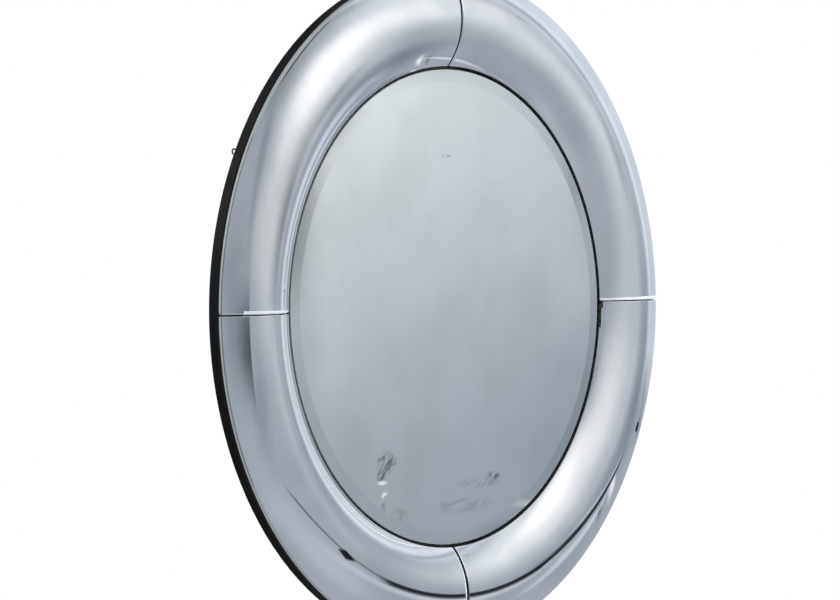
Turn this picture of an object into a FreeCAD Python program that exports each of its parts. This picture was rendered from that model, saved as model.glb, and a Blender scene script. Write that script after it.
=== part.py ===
import FreeCAD, Part
import math
import os

import Sketcher

# Round wall mirror: a flat bevelled mirror inside a ring of four arched mirror glass segments,
# all carried by a black round board that hangs from two screw eyes.
# The origin is the centre of the board's back face. The front looks towards -Y and +Z is up.

# Driving dimensions in millimetres: alias, value, what it measures
SIZES = [
    ("ring_outer_radius", 400.0, "outer radius of the glass ring and the board"),
    ("ring_width", 114.0, "width of the glass ring, from its inner to its outer edge"),
    ("arch_rise", 22.2, "height of the ring's arch over the line between its two edges"),
    ("glass_thickness", 4.0, "thickness of every glass piece"),
    ("seam_gap", 0.8, "open joint between two ring segments, at the middle of the ring"),
    ("end_corner_radius", 4.0, "rounded corner of a segment, seen from the front"),
    ("end_roll_radius", 3.0, "rounded front edge of a segment"),
    ("end_roll_limit_share", 0.85, "most of the glass thickness that the rounded edge may take"),
    ("board_thickness", 13.0, "thickness of the back board"),
    ("board_edge_chamfer", 0.6, "broken edge round the board"),
    ("rim_bed_thickness", 3.0, "bedding strip under the outer edge of the ring"),
    ("gap_bed_thickness", 1.0, "bedding strip under the inner edge of the ring"),
    ("bed_recess", 0.8, "how far a bedding strip stands back from the glass edge"),
    ("bed_width", 10.0, "width of a bedding strip"),
    ("seat_clearance", 0.3, "air between the underside of the glass and what carries it"),
    ("pad_thickness", 2.0, "foam pad between a rib and the glass"),
    ("glue_line", 0.2, "air between a rib and its pad"),
    ("rib_end_inset", 16.0, "distance of a rib's ends from the edges of the ring"),
    ("rib_thickness", 18.0, "thickness of a rib, along the ring"),
    ("screw_offset", 21.0, "distance of a rib screw from the middle of the rib"),
    ("screw_shank_radius", 1.75, "shank of a rib screw"),
    ("screw_head_radius", 3.5, "countersunk head of a rib screw"),
    ("screw_head_height", 2.2, "depth of the countersunk head"),
    ("screw_length", 25.0, "whole length of a rib screw"),
    ("screw_tip_length", 3.0, "pointed end of a rib screw"),
    ("screw_clearance", 0.15, "air round a screw in its hole"),
    ("screw_slot_width", 0.8, "width of the cross recess in a screw head"),
    ("screw_slot_depth", 1.2, "depth of the cross recess in a screw head"),
    ("screw_slot_share", 1.2, "length of the cross recess as a share of the head radius"),
    ("gap_width", 3.0, "open gap between the centre mirror and the ring"),
    ("bevel_width", 15.0, "width of the centre mirror's bevel"),
    ("bevel_drop", 0.8, "how far the bevel falls towards its edge"),
    ("mastic_thickness", 1.5, "mastic dab behind the centre mirror"),
    ("mastic_radius", 20.0, "radius of a mastic dab"),
    ("mastic_circle_radius", 190.0, "circle on which the outer mastic dabs lie"),
    ("eye_edge_distance", 11.2, "distance of a screw eye from the board's edge"),
    ("eye_angle", 28.4, "degrees that a screw eye lies above the middle, seen from the centre"),
    ("eye_ring_radius", 2.95, "radius of the screw eye's ring, to the middle of the wire"),
    ("eye_wire_radius", 0.9, "radius of the screw eye's wire"),
    ("eye_standoff", 12.2, "distance of the ring's centre behind the board"),
    ("eye_thread_length", 10.0, "length of the screw eye's thread inside the board"),
    ("eye_tip_length", 2.0, "pointed end of the thread"),
    ("eye_pilot_clearance", 0.1, "air round the thread in its hole"),
    ("bumper_radius", 6.0, "radius of a wall bumper"),
    ("bumper_thickness", 5.0, "thickness of a wall bumper"),
    ("bumper_chamfer", 1.0, "broken edge of a wall bumper"),
    ("bumper_edge_distance", 39.0, "distance of a bumper's middle from the board's edge"),
    ("bumper_angle", 59.0, "degrees that a bumper lies below the middle, seen from the centre"),
    ("cut_overrun", 1.0, "how far a cutting body runs past the surface it cuts"),
]

QUARTERS = ["upper_right", "upper_left", "lower_left", "lower_right"]
RIBS_PER_QUARTER = 3
RIB_COUNT = RIBS_PER_QUARTER * len(QUARTERS)
OUTER_MASTIC_DABS = 6
SIDES = {"left": -1, "right": 1}
FULL_TURN = 360.0
QUARTER_TURN = FULL_TURN / len(QUARTERS)
RIGHT_ANGLE = 90.0

# What a section's corner says where its arc settles one coordinate
ON_ARC = None
INNER_SIDE, OUTER_SIDE = "inner side of the arch", "outer side of the arch"
ARC_SIDES = {INNER_SIDE: -1, OUTER_SIDE: 1}

# Sizes that follow from the driving ones, as expressions over the sheet
DERIVED = {
    "inner_radius": "(Sizes.ring_outer_radius - Sizes.ring_width)",
    "mid_radius": "(Sizes.ring_outer_radius - Sizes.ring_width / 2)",
    "rib_half_span": "(Sizes.ring_width / 2 - Sizes.rib_end_inset)",
    "gap_seat": "(Sizes.board_thickness + Sizes.gap_bed_thickness)",
    "rim_seat": "(Sizes.board_thickness + Sizes.rim_bed_thickness)",
    "gap_front": "(Sizes.board_thickness + Sizes.gap_bed_thickness + Sizes.glass_thickness)",
    "rim_front": "(Sizes.board_thickness + Sizes.rim_bed_thickness + Sizes.glass_thickness)",
    "mirror_radius": "(Sizes.ring_outer_radius - Sizes.ring_width - Sizes.gap_width)",
    "mirror_back": "(Sizes.board_thickness + Sizes.mastic_thickness)",
    "mirror_front": "(Sizes.board_thickness + Sizes.mastic_thickness + Sizes.glass_thickness)",
    "chord_squared": "(Sizes.ring_width^2 + (Sizes.rim_bed_thickness - Sizes.gap_bed_thickness)^2)",
}
DERIVED["arch_radius"] = f"(({DERIVED['chord_squared']} / 4 + Sizes.arch_rise^2) / (2 * Sizes.arch_rise))"
DERIVED["under_glass"] = f"({DERIVED['arch_radius']} - Sizes.glass_thickness)"
DERIVED["bed_top"] = f"({DERIVED['under_glass']} - Sizes.seat_clearance)"
DERIVED["pad_under"] = f"({DERIVED['bed_top']} - Sizes.pad_thickness)"
DERIVED["rib_top"] = f"({DERIVED['pad_under']} - Sizes.glue_line)"
for piece in ("eye", "bumper"):
    reach = f"(Sizes.ring_outer_radius - Sizes.{piece}_edge_distance)"
    DERIVED[f"{piece}_side"] = f"({reach} * cos(Sizes.{piece}_angle * 1 deg))"
    DERIVED[f"{piece}_rise"] = f"({reach} * sin(Sizes.{piece}_angle * 1 deg))"

doc = FreeCAD.newDocument("wall_mirror")


def make_sheet():
    """Fill the sheet with the driving dimensions."""
    sheet = doc.addObject("Spreadsheet::Sheet", "Sizes")
    for row, (alias, number, meaning) in enumerate(SIZES, start=1):
        sheet.set(f"A{row}", alias)
        sheet.set(f"B{row}", str(number))
        sheet.set(f"C{row}", meaning)
        sheet.setAlias(f"B{row}", alias)
    doc.recompute()
    return sheet


sheet = make_sheet()


def number_of(expression):
    """Work out an expression over the sheet, in millimetres."""
    return float(sheet.evalExpression(expression))


def plane(body, role):
    """Find one of the body's own origin planes or axes."""
    return next(item for item in body.Origin.OriginFeatures if item.Role == role)


def turned_about_y(degrees):
    """Placement that turns a piece from +X towards +Z by an angle."""
    return FreeCAD.Placement(FreeCAD.Vector(), FreeCAD.Rotation(FreeCAD.Vector(0, -1, 0), degrees))


def along_y(reverse=False):
    """Rotation that lays a round primitive along +Y, or along -Y."""
    angle = RIGHT_ANGLE if reverse else -RIGHT_ANGLE
    return FreeCAD.Rotation(FreeCAD.Vector(1, 0, 0), angle)


def arch_centre():
    """Centre of the arch in the section: radius and depth behind the board's back face."""
    x_in, x_out = number_of(DERIVED["inner_radius"]), number_of("Sizes.ring_outer_radius")
    y_in, y_out = -number_of(DERIVED["gap_front"]), -number_of(DERIVED["rim_front"])
    radius = number_of(DERIVED["arch_radius"])
    chord = math.hypot(x_out - x_in, y_out - y_in)
    below = radius - number_of("Sizes.arch_rise")
    return (
        (x_in + x_out) / 2 - (y_out - y_in) / chord * below,
        (y_in + y_out) / 2 + (x_out - x_in) / chord * below,
    )


class Section:
    """A closed sketch in a radial plane: x is the radius, y the depth, negative in front."""

    def __init__(self, body, name, corners, edges):
        """Draw corners (x, depth) joined by edges: None is a line, a text is an arc's radius.

        A depth of ON_ARC is left to the arc that the corner lies on, and so is an x that names a
        side of the arch. Every arc is concentric with the arch of the glass.
        """
        self.sketch = body.newObject("Sketcher::SketchObject", name)
        self.sketch.AttachmentSupport = (plane(body, "XY_Plane"), "")
        self.sketch.MapMode = "FlatFace"
        self.arch = None
        self.start_point, self.end_point = {}, {}
        if any(edges):
            self.add_arch()
        places = self.guess_places(corners, edges)
        for index, radius in enumerate(edges):
            following = (index + 1) % len(places)
            self.add_edge(index, places[index], places[following], radius)
        for index in range(len(edges)):
            following = (index + 1) % len(edges)
            self.sketch.addConstraint(
                Sketcher.Constraint("Coincident", *self.end_point[index], *self.start_point[following])
            )
        for index, (x_text, depth_text) in enumerate(corners):
            self.hold(self.start_point[index], x_text, depth_text)

    def add_arch(self):
        """Add the arch of the glass front as a construction line."""
        x_centre, y_centre = arch_centre()
        circle = Part.Circle(
            FreeCAD.Vector(x_centre, y_centre, 0), FreeCAD.Vector(0, 0, 1), number_of(DERIVED["arch_radius"])
        )
        ends = [
            (DERIVED["inner_radius"], DERIVED["gap_front"]),
            ("Sizes.ring_outer_radius", DERIVED["rim_front"]),
        ]
        angles = [
            math.atan2(-number_of(depth_text) - y_centre, number_of(x_text) - x_centre)
            for x_text, depth_text in ends
        ]
        self.arch = self.sketch.addGeometry(Part.ArcOfCircle(circle, *angles), True)
        for point, end in enumerate(ends, start=1):
            self.hold((self.arch, point), *end)
        self.add_size("Radius", (self.arch,), DERIVED["arch_radius"])

    @staticmethod
    def guess_places(corners, edges):
        """Work out where each corner lies, using its arc for what the corner leaves open."""
        x_centre, y_centre = arch_centre()
        places = []
        for index, (x_text, depth_text) in enumerate(corners):
            radius_text = edges[index] or edges[index - 1]
            if depth_text is ON_ARC:
                x = number_of(x_text)
                y = y_centre - math.sqrt(number_of(radius_text) ** 2 - (x - x_centre) ** 2)
            elif x_text in ARC_SIDES:
                y = -number_of(depth_text)
                away = math.sqrt(number_of(radius_text) ** 2 - (y - y_centre) ** 2)
                x = x_centre + ARC_SIDES[x_text] * away
            else:
                x, y = number_of(x_text), -number_of(depth_text)
            places.append((x, y))
        return places

    def add_edge(self, index, here, there, radius):
        """Add one edge and note which of its ends is the corner it starts from."""
        if radius is None:
            line = Part.LineSegment(FreeCAD.Vector(*here, 0), FreeCAD.Vector(*there, 0))
            item = self.sketch.addGeometry(line, False)
            self.start_point[index], self.end_point[index] = (item, 1), (item, 2)
            return
        x_centre, y_centre = arch_centre()
        circle = Part.Circle(
            FreeCAD.Vector(x_centre, y_centre, 0), FreeCAD.Vector(0, 0, 1), number_of(radius)
        )
        angles = [math.atan2(y - y_centre, x - x_centre) for x, y in (here, there)]
        item = self.sketch.addGeometry(Part.ArcOfCircle(circle, min(angles), max(angles)), False)
        first, last = ((item, 1), (item, 2)) if angles[0] < angles[1] else ((item, 2), (item, 1))
        self.start_point[index], self.end_point[index] = first, last
        self.sketch.addConstraint(Sketcher.Constraint("Coincident", item, 3, self.arch, 3))
        self.add_size("Radius", (item,), radius)

    def hold(self, point, x_text, depth_text):
        """Hold a point at its radius and its depth in front of the board's back face."""
        if x_text == "0":
            self.sketch.addConstraint(Sketcher.Constraint("PointOnObject", *point, -2))
        elif x_text not in ARC_SIDES:
            self.add_size("DistanceX", (-1, 1, *point), x_text)
        if depth_text == "0":
            self.sketch.addConstraint(Sketcher.Constraint("PointOnObject", *point, -1))
        elif depth_text is not ON_ARC:
            self.add_size("DistanceY", (*point, -1, 1), depth_text)

    def add_size(self, kind, references, text):
        """Add a sized constraint bound to the sheet."""
        index = self.sketch.addConstraint(Sketcher.Constraint(kind, *references, number_of(text)))
        self.sketch.setExpression(f"Constraints[{index}]", text)


def revolved_body(name, corners, edges, angle=None):
    """Turn a section about the Y axis, all round or through an angle on both sides of +X."""
    body = doc.addObject("PartDesign::Body", name)
    section = Section(body, name + "_section", corners, edges)
    turn = body.newObject("PartDesign::Revolution", name + "_turn")
    turn.Profile = section.sketch
    turn.ReferenceAxis = (section.sketch, ["V_Axis"])
    turn.Angle = FULL_TURN
    if angle:
        turn.Midplane = True
        turn.setExpression("Angle", angle)
    body.Tip = turn
    doc.recompute()
    return body


def edges_where(shape, wanted):
    """Names of the edges of a shape that a test picks out."""
    return [f"Edge{number}" for number, edge in enumerate(shape.Edges, start=1) if wanted(edge)]


def softened(body, kind, label, size_name, size_text, wanted):
    """Add a fillet or chamfer to the picked edges of a body's last feature."""
    base = body.Tip
    feature = body.newObject("PartDesign::" + kind, body.Name + label)
    feature.Base = (base, edges_where(base.Shape, wanted))
    feature.setExpression(size_name, size_text)
    body.Tip = feature
    doc.recompute()
    return body


def seam_angle():
    """Angle that one segment covers, less the open seam."""
    return f"{QUARTER_TURN} deg - 2 * asin(Sizes.seam_gap / 2 / ({DERIVED['mid_radius']}))"


def quarter_middle(number):
    """Angle of the middle of a quarter, from +X towards +Z."""
    return (number + 0.5) * QUARTER_TURN


# Back board with its screw holes


def make_back_board():
    """Round board with countersunk rib screw holes and blind holes for the screw eyes."""
    board = doc.addObject("PartDesign::Body", "back_board")
    outline = board.newObject("Sketcher::SketchObject", "back_board_outline")
    outline.AttachmentSupport = (plane(board, "XZ_Plane"), "")
    outline.MapMode = "FlatFace"
    circle = Part.Circle(FreeCAD.Vector(), FreeCAD.Vector(0, 0, 1), number_of("Sizes.ring_outer_radius"))
    item = outline.addGeometry(circle, False)
    outline.addConstraint(Sketcher.Constraint("Coincident", item, 3, -1, 1))
    index = outline.addConstraint(Sketcher.Constraint("Radius", item, circle.Radius))
    outline.setExpression(f"Constraints[{index}]", "Sizes.ring_outer_radius")
    pad = board.newObject("PartDesign::Pad", "back_board_pad")
    pad.Profile = outline
    pad.setExpression("Length", "Sizes.board_thickness")
    doc.recompute()
    if pad.Shape.CenterOfMass.y > 0:
        pad.Reversed = True
    board.Tip = pad
    doc.recompute()
    rim = number_of("Sizes.ring_outer_radius")
    softened(
        board, "Chamfer", "_edge", "Size", "Sizes.board_edge_chamfer",
        lambda edge: hasattr(edge.Curve, "Radius") and math.isclose(edge.Curve.Radius, rim),
    )
    for side, sign in (("inner", "-"), ("outer", "+")):
        radius = f"({DERIVED['mid_radius']} {sign} Sizes.screw_offset)"
        repeat_round(board, clearance_hole(board, side, radius))
        repeat_round(board, countersink(board, side, radius))
    for side, sign in SIDES.items():
        eye_hole(board, side, sign)
    doc.recompute()
    return board


def repeat_round(board, cutter):
    """Repeat a cutter at every rib."""
    pattern = board.newObject("PartDesign::PolarPattern", cutter.Name + "_pattern")
    pattern.Originals = [cutter]
    pattern.Axis = (plane(board, "Y_Axis"), [""])
    pattern.Angle = FULL_TURN
    pattern.Occurrences = RIB_COUNT
    board.Tip = pattern
    doc.recompute()


def place_on_first_rib(feature, radius, depth):
    """Put a cutter on the line of the first rib at a radius and a depth."""
    angle = rib_angle(0)
    feature.setExpression("Placement.Base.x", f"{radius} * cos({angle} deg)")
    feature.setExpression("Placement.Base.z", f"{radius} * sin({angle} deg)")
    feature.setExpression("Placement.Base.y", depth)


def clearance_hole(board, side, radius):
    """Through hole for the shank of a rib screw."""
    hole = board.newObject("PartDesign::SubtractiveCylinder", f"shank_hole_{side}")
    hole.Placement.Rotation = along_y()
    hole.setExpression("Radius", "Sizes.screw_shank_radius + Sizes.screw_clearance")
    hole.setExpression("Height", "Sizes.board_thickness + 2 * Sizes.cut_overrun")
    place_on_first_rib(hole, radius, "-Sizes.board_thickness - Sizes.cut_overrun")
    return hole


def countersink(board, side, radius):
    """Countersink in the back face for the head of a rib screw."""
    cone = board.newObject("PartDesign::SubtractiveCone", f"countersink_{side}")
    cone.Placement.Rotation = along_y()
    cone.setExpression("Radius1", "Sizes.screw_shank_radius + Sizes.screw_clearance")
    cone.setExpression("Radius2", "Sizes.screw_head_radius + Sizes.screw_clearance")
    cone.setExpression("Height", "Sizes.screw_head_height")
    place_on_first_rib(cone, radius, "-Sizes.screw_head_height")
    return cone


def eye_hole(board, side, sign):
    """Blind hole in the back face for the thread of a screw eye."""
    hole = board.newObject("PartDesign::SubtractiveCylinder", f"eye_hole_{side}")
    hole.Placement.Rotation = along_y()
    hole.setExpression("Radius", "Sizes.eye_wire_radius + Sizes.eye_pilot_clearance")
    hole.setExpression("Height", "Sizes.eye_thread_length + Sizes.eye_pilot_clearance + Sizes.cut_overrun")
    hole.setExpression("Placement.Base.x", f"{sign} * {DERIVED['eye_side']}")
    hole.setExpression("Placement.Base.y", "-Sizes.eye_thread_length - Sizes.eye_pilot_clearance")
    hole.setExpression("Placement.Base.z", DERIVED["eye_rise"])
    board.Tip = hole
    doc.recompute()


# Ring of four arched glass segments on bedding strips


def make_ring_glass(number, quarter):
    """One arched segment with ground feet, rounded corners and rounded front edges."""
    corners = [
        (DERIVED["inner_radius"], ON_ARC),
        ("Sizes.ring_outer_radius", ON_ARC),
        ("Sizes.ring_outer_radius", DERIVED["rim_seat"]),
        (OUTER_SIDE, DERIVED["rim_seat"]),
        (INNER_SIDE, DERIVED["gap_seat"]),
        (DERIVED["inner_radius"], DERIVED["gap_seat"]),
    ]
    edges = [DERIVED["arch_radius"], None, None, DERIVED["under_glass"], None, None]
    body = revolved_body(f"ring_glass_{quarter}", corners, edges, seam_angle())
    softened(body, "Fillet", "_corners", "Radius", "Sizes.end_corner_radius", is_glass_corner)
    roll = "min(Sizes.end_roll_radius; Sizes.end_roll_limit_share * Sizes.glass_thickness)"
    softened(body, "Fillet", "_edge", "Radius", roll, is_glass_end)
    body.Placement = turned_about_y(quarter_middle(number))
    return body


def is_glass_corner(edge):
    """Upright edge where a segment's end meets its inner or outer edge."""
    if len(edge.Vertexes) < 2:
        return False
    along = edge.Vertexes[1].Point - edge.Vertexes[0].Point
    upright = math.isclose(abs(along.y), along.Length, rel_tol=1e-6)
    return upright and math.isclose(along.Length, number_of("Sizes.glass_thickness"), rel_tol=1e-3)


def is_glass_end(edge):
    """Arched front edge of a segment's end."""
    radius = number_of(DERIVED["arch_radius"])
    return hasattr(edge.Curve, "Radius") and math.isclose(edge.Curve.Radius, radius, rel_tol=1e-4)


def make_rim_strip(number, quarter):
    """Outer bedding strip of one quarter, wedged up under the glass."""
    near = "Sizes.ring_outer_radius - Sizes.bed_recess"
    far = f"{near} - Sizes.bed_width"
    corners = [
        (near, DERIVED["rim_seat"]),
        (near, "Sizes.board_thickness"),
        (far, "Sizes.board_thickness"),
        (far, ON_ARC),
        (OUTER_SIDE, DERIVED["rim_seat"]),
    ]
    edges = [None, None, None, DERIVED["bed_top"], None]
    body = revolved_body(f"rim_strip_{quarter}", corners, edges, seam_angle())
    body.Placement = turned_about_y(quarter_middle(number))
    return body


def make_gap_strip(number, quarter):
    """Inner bedding strip of one quarter, wedged up under the glass."""
    near = f"{DERIVED['inner_radius']} + Sizes.bed_recess"
    far = f"{near} + Sizes.bed_width"
    corners = [
        (near, "Sizes.board_thickness"),
        (near, DERIVED["gap_seat"]),
        (INNER_SIDE, DERIVED["gap_seat"]),
        (far, ON_ARC),
        (far, "Sizes.board_thickness"),
    ]
    edges = [None, None, DERIVED["bed_top"], None, None]
    body = revolved_body(f"gap_strip_{quarter}", corners, edges, seam_angle())
    body.Placement = turned_about_y(quarter_middle(number))
    return body


# Ribs, pads and screws under the arch


def rib_angle(number):
    """Angle of a rib, from +X towards +Z."""
    return (number + 0.5) * FULL_TURN / RIB_COUNT


def rib_turn():
    """Angle that a rib takes along the ring."""
    return f"2 * atan(Sizes.rib_thickness / 2 / ({DERIVED['mid_radius']}))"


def make_rib(number):
    """Wooden rib with an arched top and two pilot holes for its screws."""
    inner = f"{DERIVED['mid_radius']} - {DERIVED['rib_half_span']}"
    outer = f"{DERIVED['mid_radius']} + {DERIVED['rib_half_span']}"
    corners = [
        (inner, "Sizes.board_thickness"),
        (inner, ON_ARC),
        (outer, ON_ARC),
        (outer, "Sizes.board_thickness"),
    ]
    name = f"ring_rib_{number + 1:02d}"
    body = revolved_body(name, corners, [None, DERIVED["rib_top"], None, None], rib_turn())
    for side, sign in (("inner", "-"), ("outer", "+")):
        hole = body.newObject("PartDesign::SubtractiveCylinder", f"{name}_hole_{side}")
        hole.Placement.Rotation = along_y(reverse=True)
        hole.setExpression("Radius", "Sizes.screw_shank_radius + Sizes.screw_clearance")
        depth = "Sizes.screw_length - Sizes.board_thickness + Sizes.screw_clearance"
        hole.setExpression("Height", f"{depth} + Sizes.cut_overrun")
        hole.setExpression("Placement.Base.x", f"{DERIVED['mid_radius']} {sign} Sizes.screw_offset")
        hole.setExpression("Placement.Base.y", "-Sizes.board_thickness + Sizes.cut_overrun")
        body.Tip = hole
    body.Placement = turned_about_y(rib_angle(number))
    doc.recompute()
    return body


def make_rib_pad(number):
    """Foam pad between a rib and the glass."""
    inner = f"{DERIVED['mid_radius']} - {DERIVED['rib_half_span']}"
    outer = f"{DERIVED['mid_radius']} + {DERIVED['rib_half_span']}"
    corners = [(inner, ON_ARC), (outer, ON_ARC), (outer, ON_ARC), (inner, ON_ARC)]
    edges = [DERIVED["bed_top"], None, DERIVED["pad_under"], None]
    body = revolved_body(f"rib_pad_{number + 1:02d}", corners, edges, rib_turn())
    body.Placement = turned_about_y(rib_angle(number))
    return body


def make_screw_pattern():
    """One countersunk screw with a cross recess, head at the origin and tip towards -Y."""
    screw = doc.addObject("PartDesign::Body", "screw_pattern")
    corners = [
        ("0", "0"),
        ("Sizes.screw_head_radius", "0"),
        ("Sizes.screw_shank_radius", "Sizes.screw_head_height"),
        ("Sizes.screw_shank_radius", "Sizes.screw_length - Sizes.screw_tip_length"),
        ("0", "Sizes.screw_length"),
    ]
    section = Section(screw, "screw_section", corners, [None] * len(corners))
    turn = screw.newObject("PartDesign::Revolution", "screw_turn")
    turn.Profile = section.sketch
    turn.ReferenceAxis = (section.sketch, ["V_Axis"])
    turn.Angle = FULL_TURN
    length = "Sizes.screw_slot_share * Sizes.screw_head_radius"
    for name, (x_size, z_size) in {
        "slot_along": (length, "Sizes.screw_slot_width"),
        "slot_across": ("Sizes.screw_slot_width", length),
    }.items():
        slot = screw.newObject("PartDesign::SubtractiveBox", name)
        slot.setExpression("Length", x_size)
        slot.setExpression("Width", "Sizes.screw_slot_depth + Sizes.cut_overrun")
        slot.setExpression("Height", z_size)
        slot.setExpression("Placement.Base.x", f"-({x_size}) / 2")
        slot.setExpression("Placement.Base.y", "-Sizes.screw_slot_depth")
        slot.setExpression("Placement.Base.z", f"-({z_size}) / 2")
        screw.Tip = slot
    doc.recompute()
    return screw


def make_rib_screws():
    """All rib screws as one node of separate solids."""
    pattern = make_screw_pattern()
    copies = []
    for number in range(RIB_COUNT):
        for sign in (-1, 1):
            radius = number_of(DERIVED["mid_radius"]) + sign * number_of("Sizes.screw_offset")
            copy = pattern.Shape.copy()
            turn = turned_about_y(rib_angle(number))
            turn.Base = turn.Rotation.multVec(FreeCAD.Vector(radius, 0, 0))
            copy.Placement = turn
            copies.append(copy)
    screws = doc.addObject("Part::Feature", "rib_screws")
    screws.Shape = Part.makeCompound(copies)
    return screws


# Centre mirror on mastic dabs


def make_centre_mirror():
    """Flat round mirror with a wide bevel."""
    flat_radius = f"{DERIVED['mirror_radius']} - Sizes.bevel_width"
    corners = [
        ("0", DERIVED["mirror_back"]),
        (DERIVED["mirror_radius"], DERIVED["mirror_back"]),
        (DERIVED["mirror_radius"], f"{DERIVED['mirror_front']} - Sizes.bevel_drop"),
        (flat_radius, DERIVED["mirror_front"]),
        ("0", DERIVED["mirror_front"]),
    ]
    return revolved_body("centre_mirror", corners, [None] * len(corners))


def make_mirror_mastic():
    """One dab in the middle and a circle of dabs round it."""
    dabs = []
    for number in range(OUTER_MASTIC_DABS + 1):
        dab = doc.addObject("Part::Cylinder", f"mastic_dab_{number}")
        dab.setExpression("Radius", "Sizes.mastic_radius")
        dab.setExpression("Height", "Sizes.mastic_thickness")
        dab.Placement.Rotation = along_y(reverse=True)
        dab.setExpression("Placement.Base.y", "-Sizes.board_thickness")
        if number:
            angle = number * FULL_TURN / OUTER_MASTIC_DABS
            dab.setExpression("Placement.Base.x", f"Sizes.mastic_circle_radius * cos({angle} deg)")
            dab.setExpression("Placement.Base.z", f"Sizes.mastic_circle_radius * sin({angle} deg)")
        dabs.append(dab)
    mastic = doc.addObject("Part::Compound", "mirror_mastic")
    mastic.Links = dabs
    return mastic


# Hanging hardware on the back


def make_screw_eye(side, sign):
    """Wire ring on a pointed shank; the ring's hole looks sideways."""
    ring = doc.addObject("Part::Torus", f"eye_ring_{side}")
    ring.setExpression("Radius1", "Sizes.eye_ring_radius")
    ring.setExpression("Radius2", "Sizes.eye_wire_radius")
    ring.Placement.Rotation = FreeCAD.Rotation(FreeCAD.Vector(0, 1, 0), RIGHT_ANGLE)
    ring.setExpression("Placement.Base.y", "Sizes.eye_standoff")
    shank = doc.addObject("Part::Cylinder", f"eye_shank_{side}")
    shank.setExpression("Radius", "Sizes.eye_wire_radius")
    straight = "Sizes.eye_thread_length - Sizes.eye_tip_length"
    shank.setExpression("Height", f"{straight} + Sizes.eye_standoff - Sizes.eye_ring_radius")
    shank.setExpression("Placement.Base.y", f"-({straight})")
    shank.Placement.Rotation = along_y()
    tip = doc.addObject("Part::Cone", f"eye_tip_{side}")
    tip.setExpression("Radius1", "Sizes.eye_wire_radius")
    tip.Radius2 = 0
    tip.setExpression("Height", "Sizes.eye_tip_length")
    tip.setExpression("Placement.Base.y", f"-({straight})")
    tip.Placement.Rotation = along_y(reverse=True)
    for item in (ring, shank, tip):
        item.setExpression("Placement.Base.x", f"{sign} * {DERIVED['eye_side']}")
        item.setExpression("Placement.Base.z", DERIVED["eye_rise"])
    eye = doc.addObject("Part::MultiFuse", f"screw_eye_{side}")
    eye.Shapes = [ring, shank, tip]
    return eye


def make_wall_bumper(side, sign):
    """Round rubber bumper that keeps the lower edge off the wall."""
    body = doc.addObject("PartDesign::Body", f"wall_bumper_{side}")
    disc = body.newObject("PartDesign::AdditiveCylinder", f"bumper_disc_{side}")
    disc.setExpression("Radius", "Sizes.bumper_radius")
    disc.setExpression("Height", "Sizes.bumper_thickness")
    disc.Placement.Rotation = along_y()
    body.Tip = disc
    doc.recompute()
    thickness = number_of("Sizes.bumper_thickness")
    softened(
        body, "Chamfer", "_edge", "Size", "Sizes.bumper_chamfer",
        lambda edge: edge.isClosed() and math.isclose(edge.BoundBox.YMin, thickness, rel_tol=1e-6),
    )
    body.setExpression("Placement.Base.x", f"{sign} * {DERIVED['bumper_side']}")
    body.setExpression("Placement.Base.z", f"-{DERIVED['bumper_rise']}")
    return body


def make_nodes():
    """Build every sub-part and give each its own label."""
    nodes = [make_back_board()]
    for number, quarter in enumerate(QUARTERS):
        nodes.append(make_rim_strip(number, quarter))
        nodes.append(make_gap_strip(number, quarter))
        nodes.append(make_ring_glass(number, quarter))
    for number in range(RIB_COUNT):
        nodes.append(make_rib(number))
        nodes.append(make_rib_pad(number))
    nodes += [make_rib_screws(), make_centre_mirror(), make_mirror_mastic()]
    for side, sign in SIDES.items():
        nodes.append(make_screw_eye(side, sign))
        nodes.append(make_wall_bumper(side, sign))
    doc.recompute()
    for node in nodes:
        node.Label = node.Name
    return nodes


def check(nodes):
    """Stop if any object failed or any sub-part has no sound shape."""
    for item in doc.Objects:
        if {"Invalid", "Error"} & set(item.State):
            raise RuntimeError(f"{item.Name} failed to recompute: {item.State}")
    for node in nodes:
        if node.Shape.isNull() or not node.Shape.isValid():
            raise RuntimeError(f"{node.Name} has no valid shape")


def export(nodes):
    """Write each sub-part to its own STEP file."""
    os.makedirs("parts", exist_ok=True)
    for node in nodes:
        node.Shape.exportStep(f"parts/{node.Label}.step")
        box = node.Shape.BoundBox
        spans = f"{box.XLength:.1f} x {box.YLength:.1f} x {box.ZLength:.1f}"
        print(f"{node.Label}: {len(node.Shape.Solids)} solids, {node.Shape.Volume:.0f} mm3, {spans} mm")


nodes = make_nodes()
check(nodes)
export(nodes)
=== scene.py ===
import logging
import math
from dataclasses import dataclass
from enum import Enum, IntEnum

import bmesh
import bpy
from mathutils import Matrix, Quaternion, Vector


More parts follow.
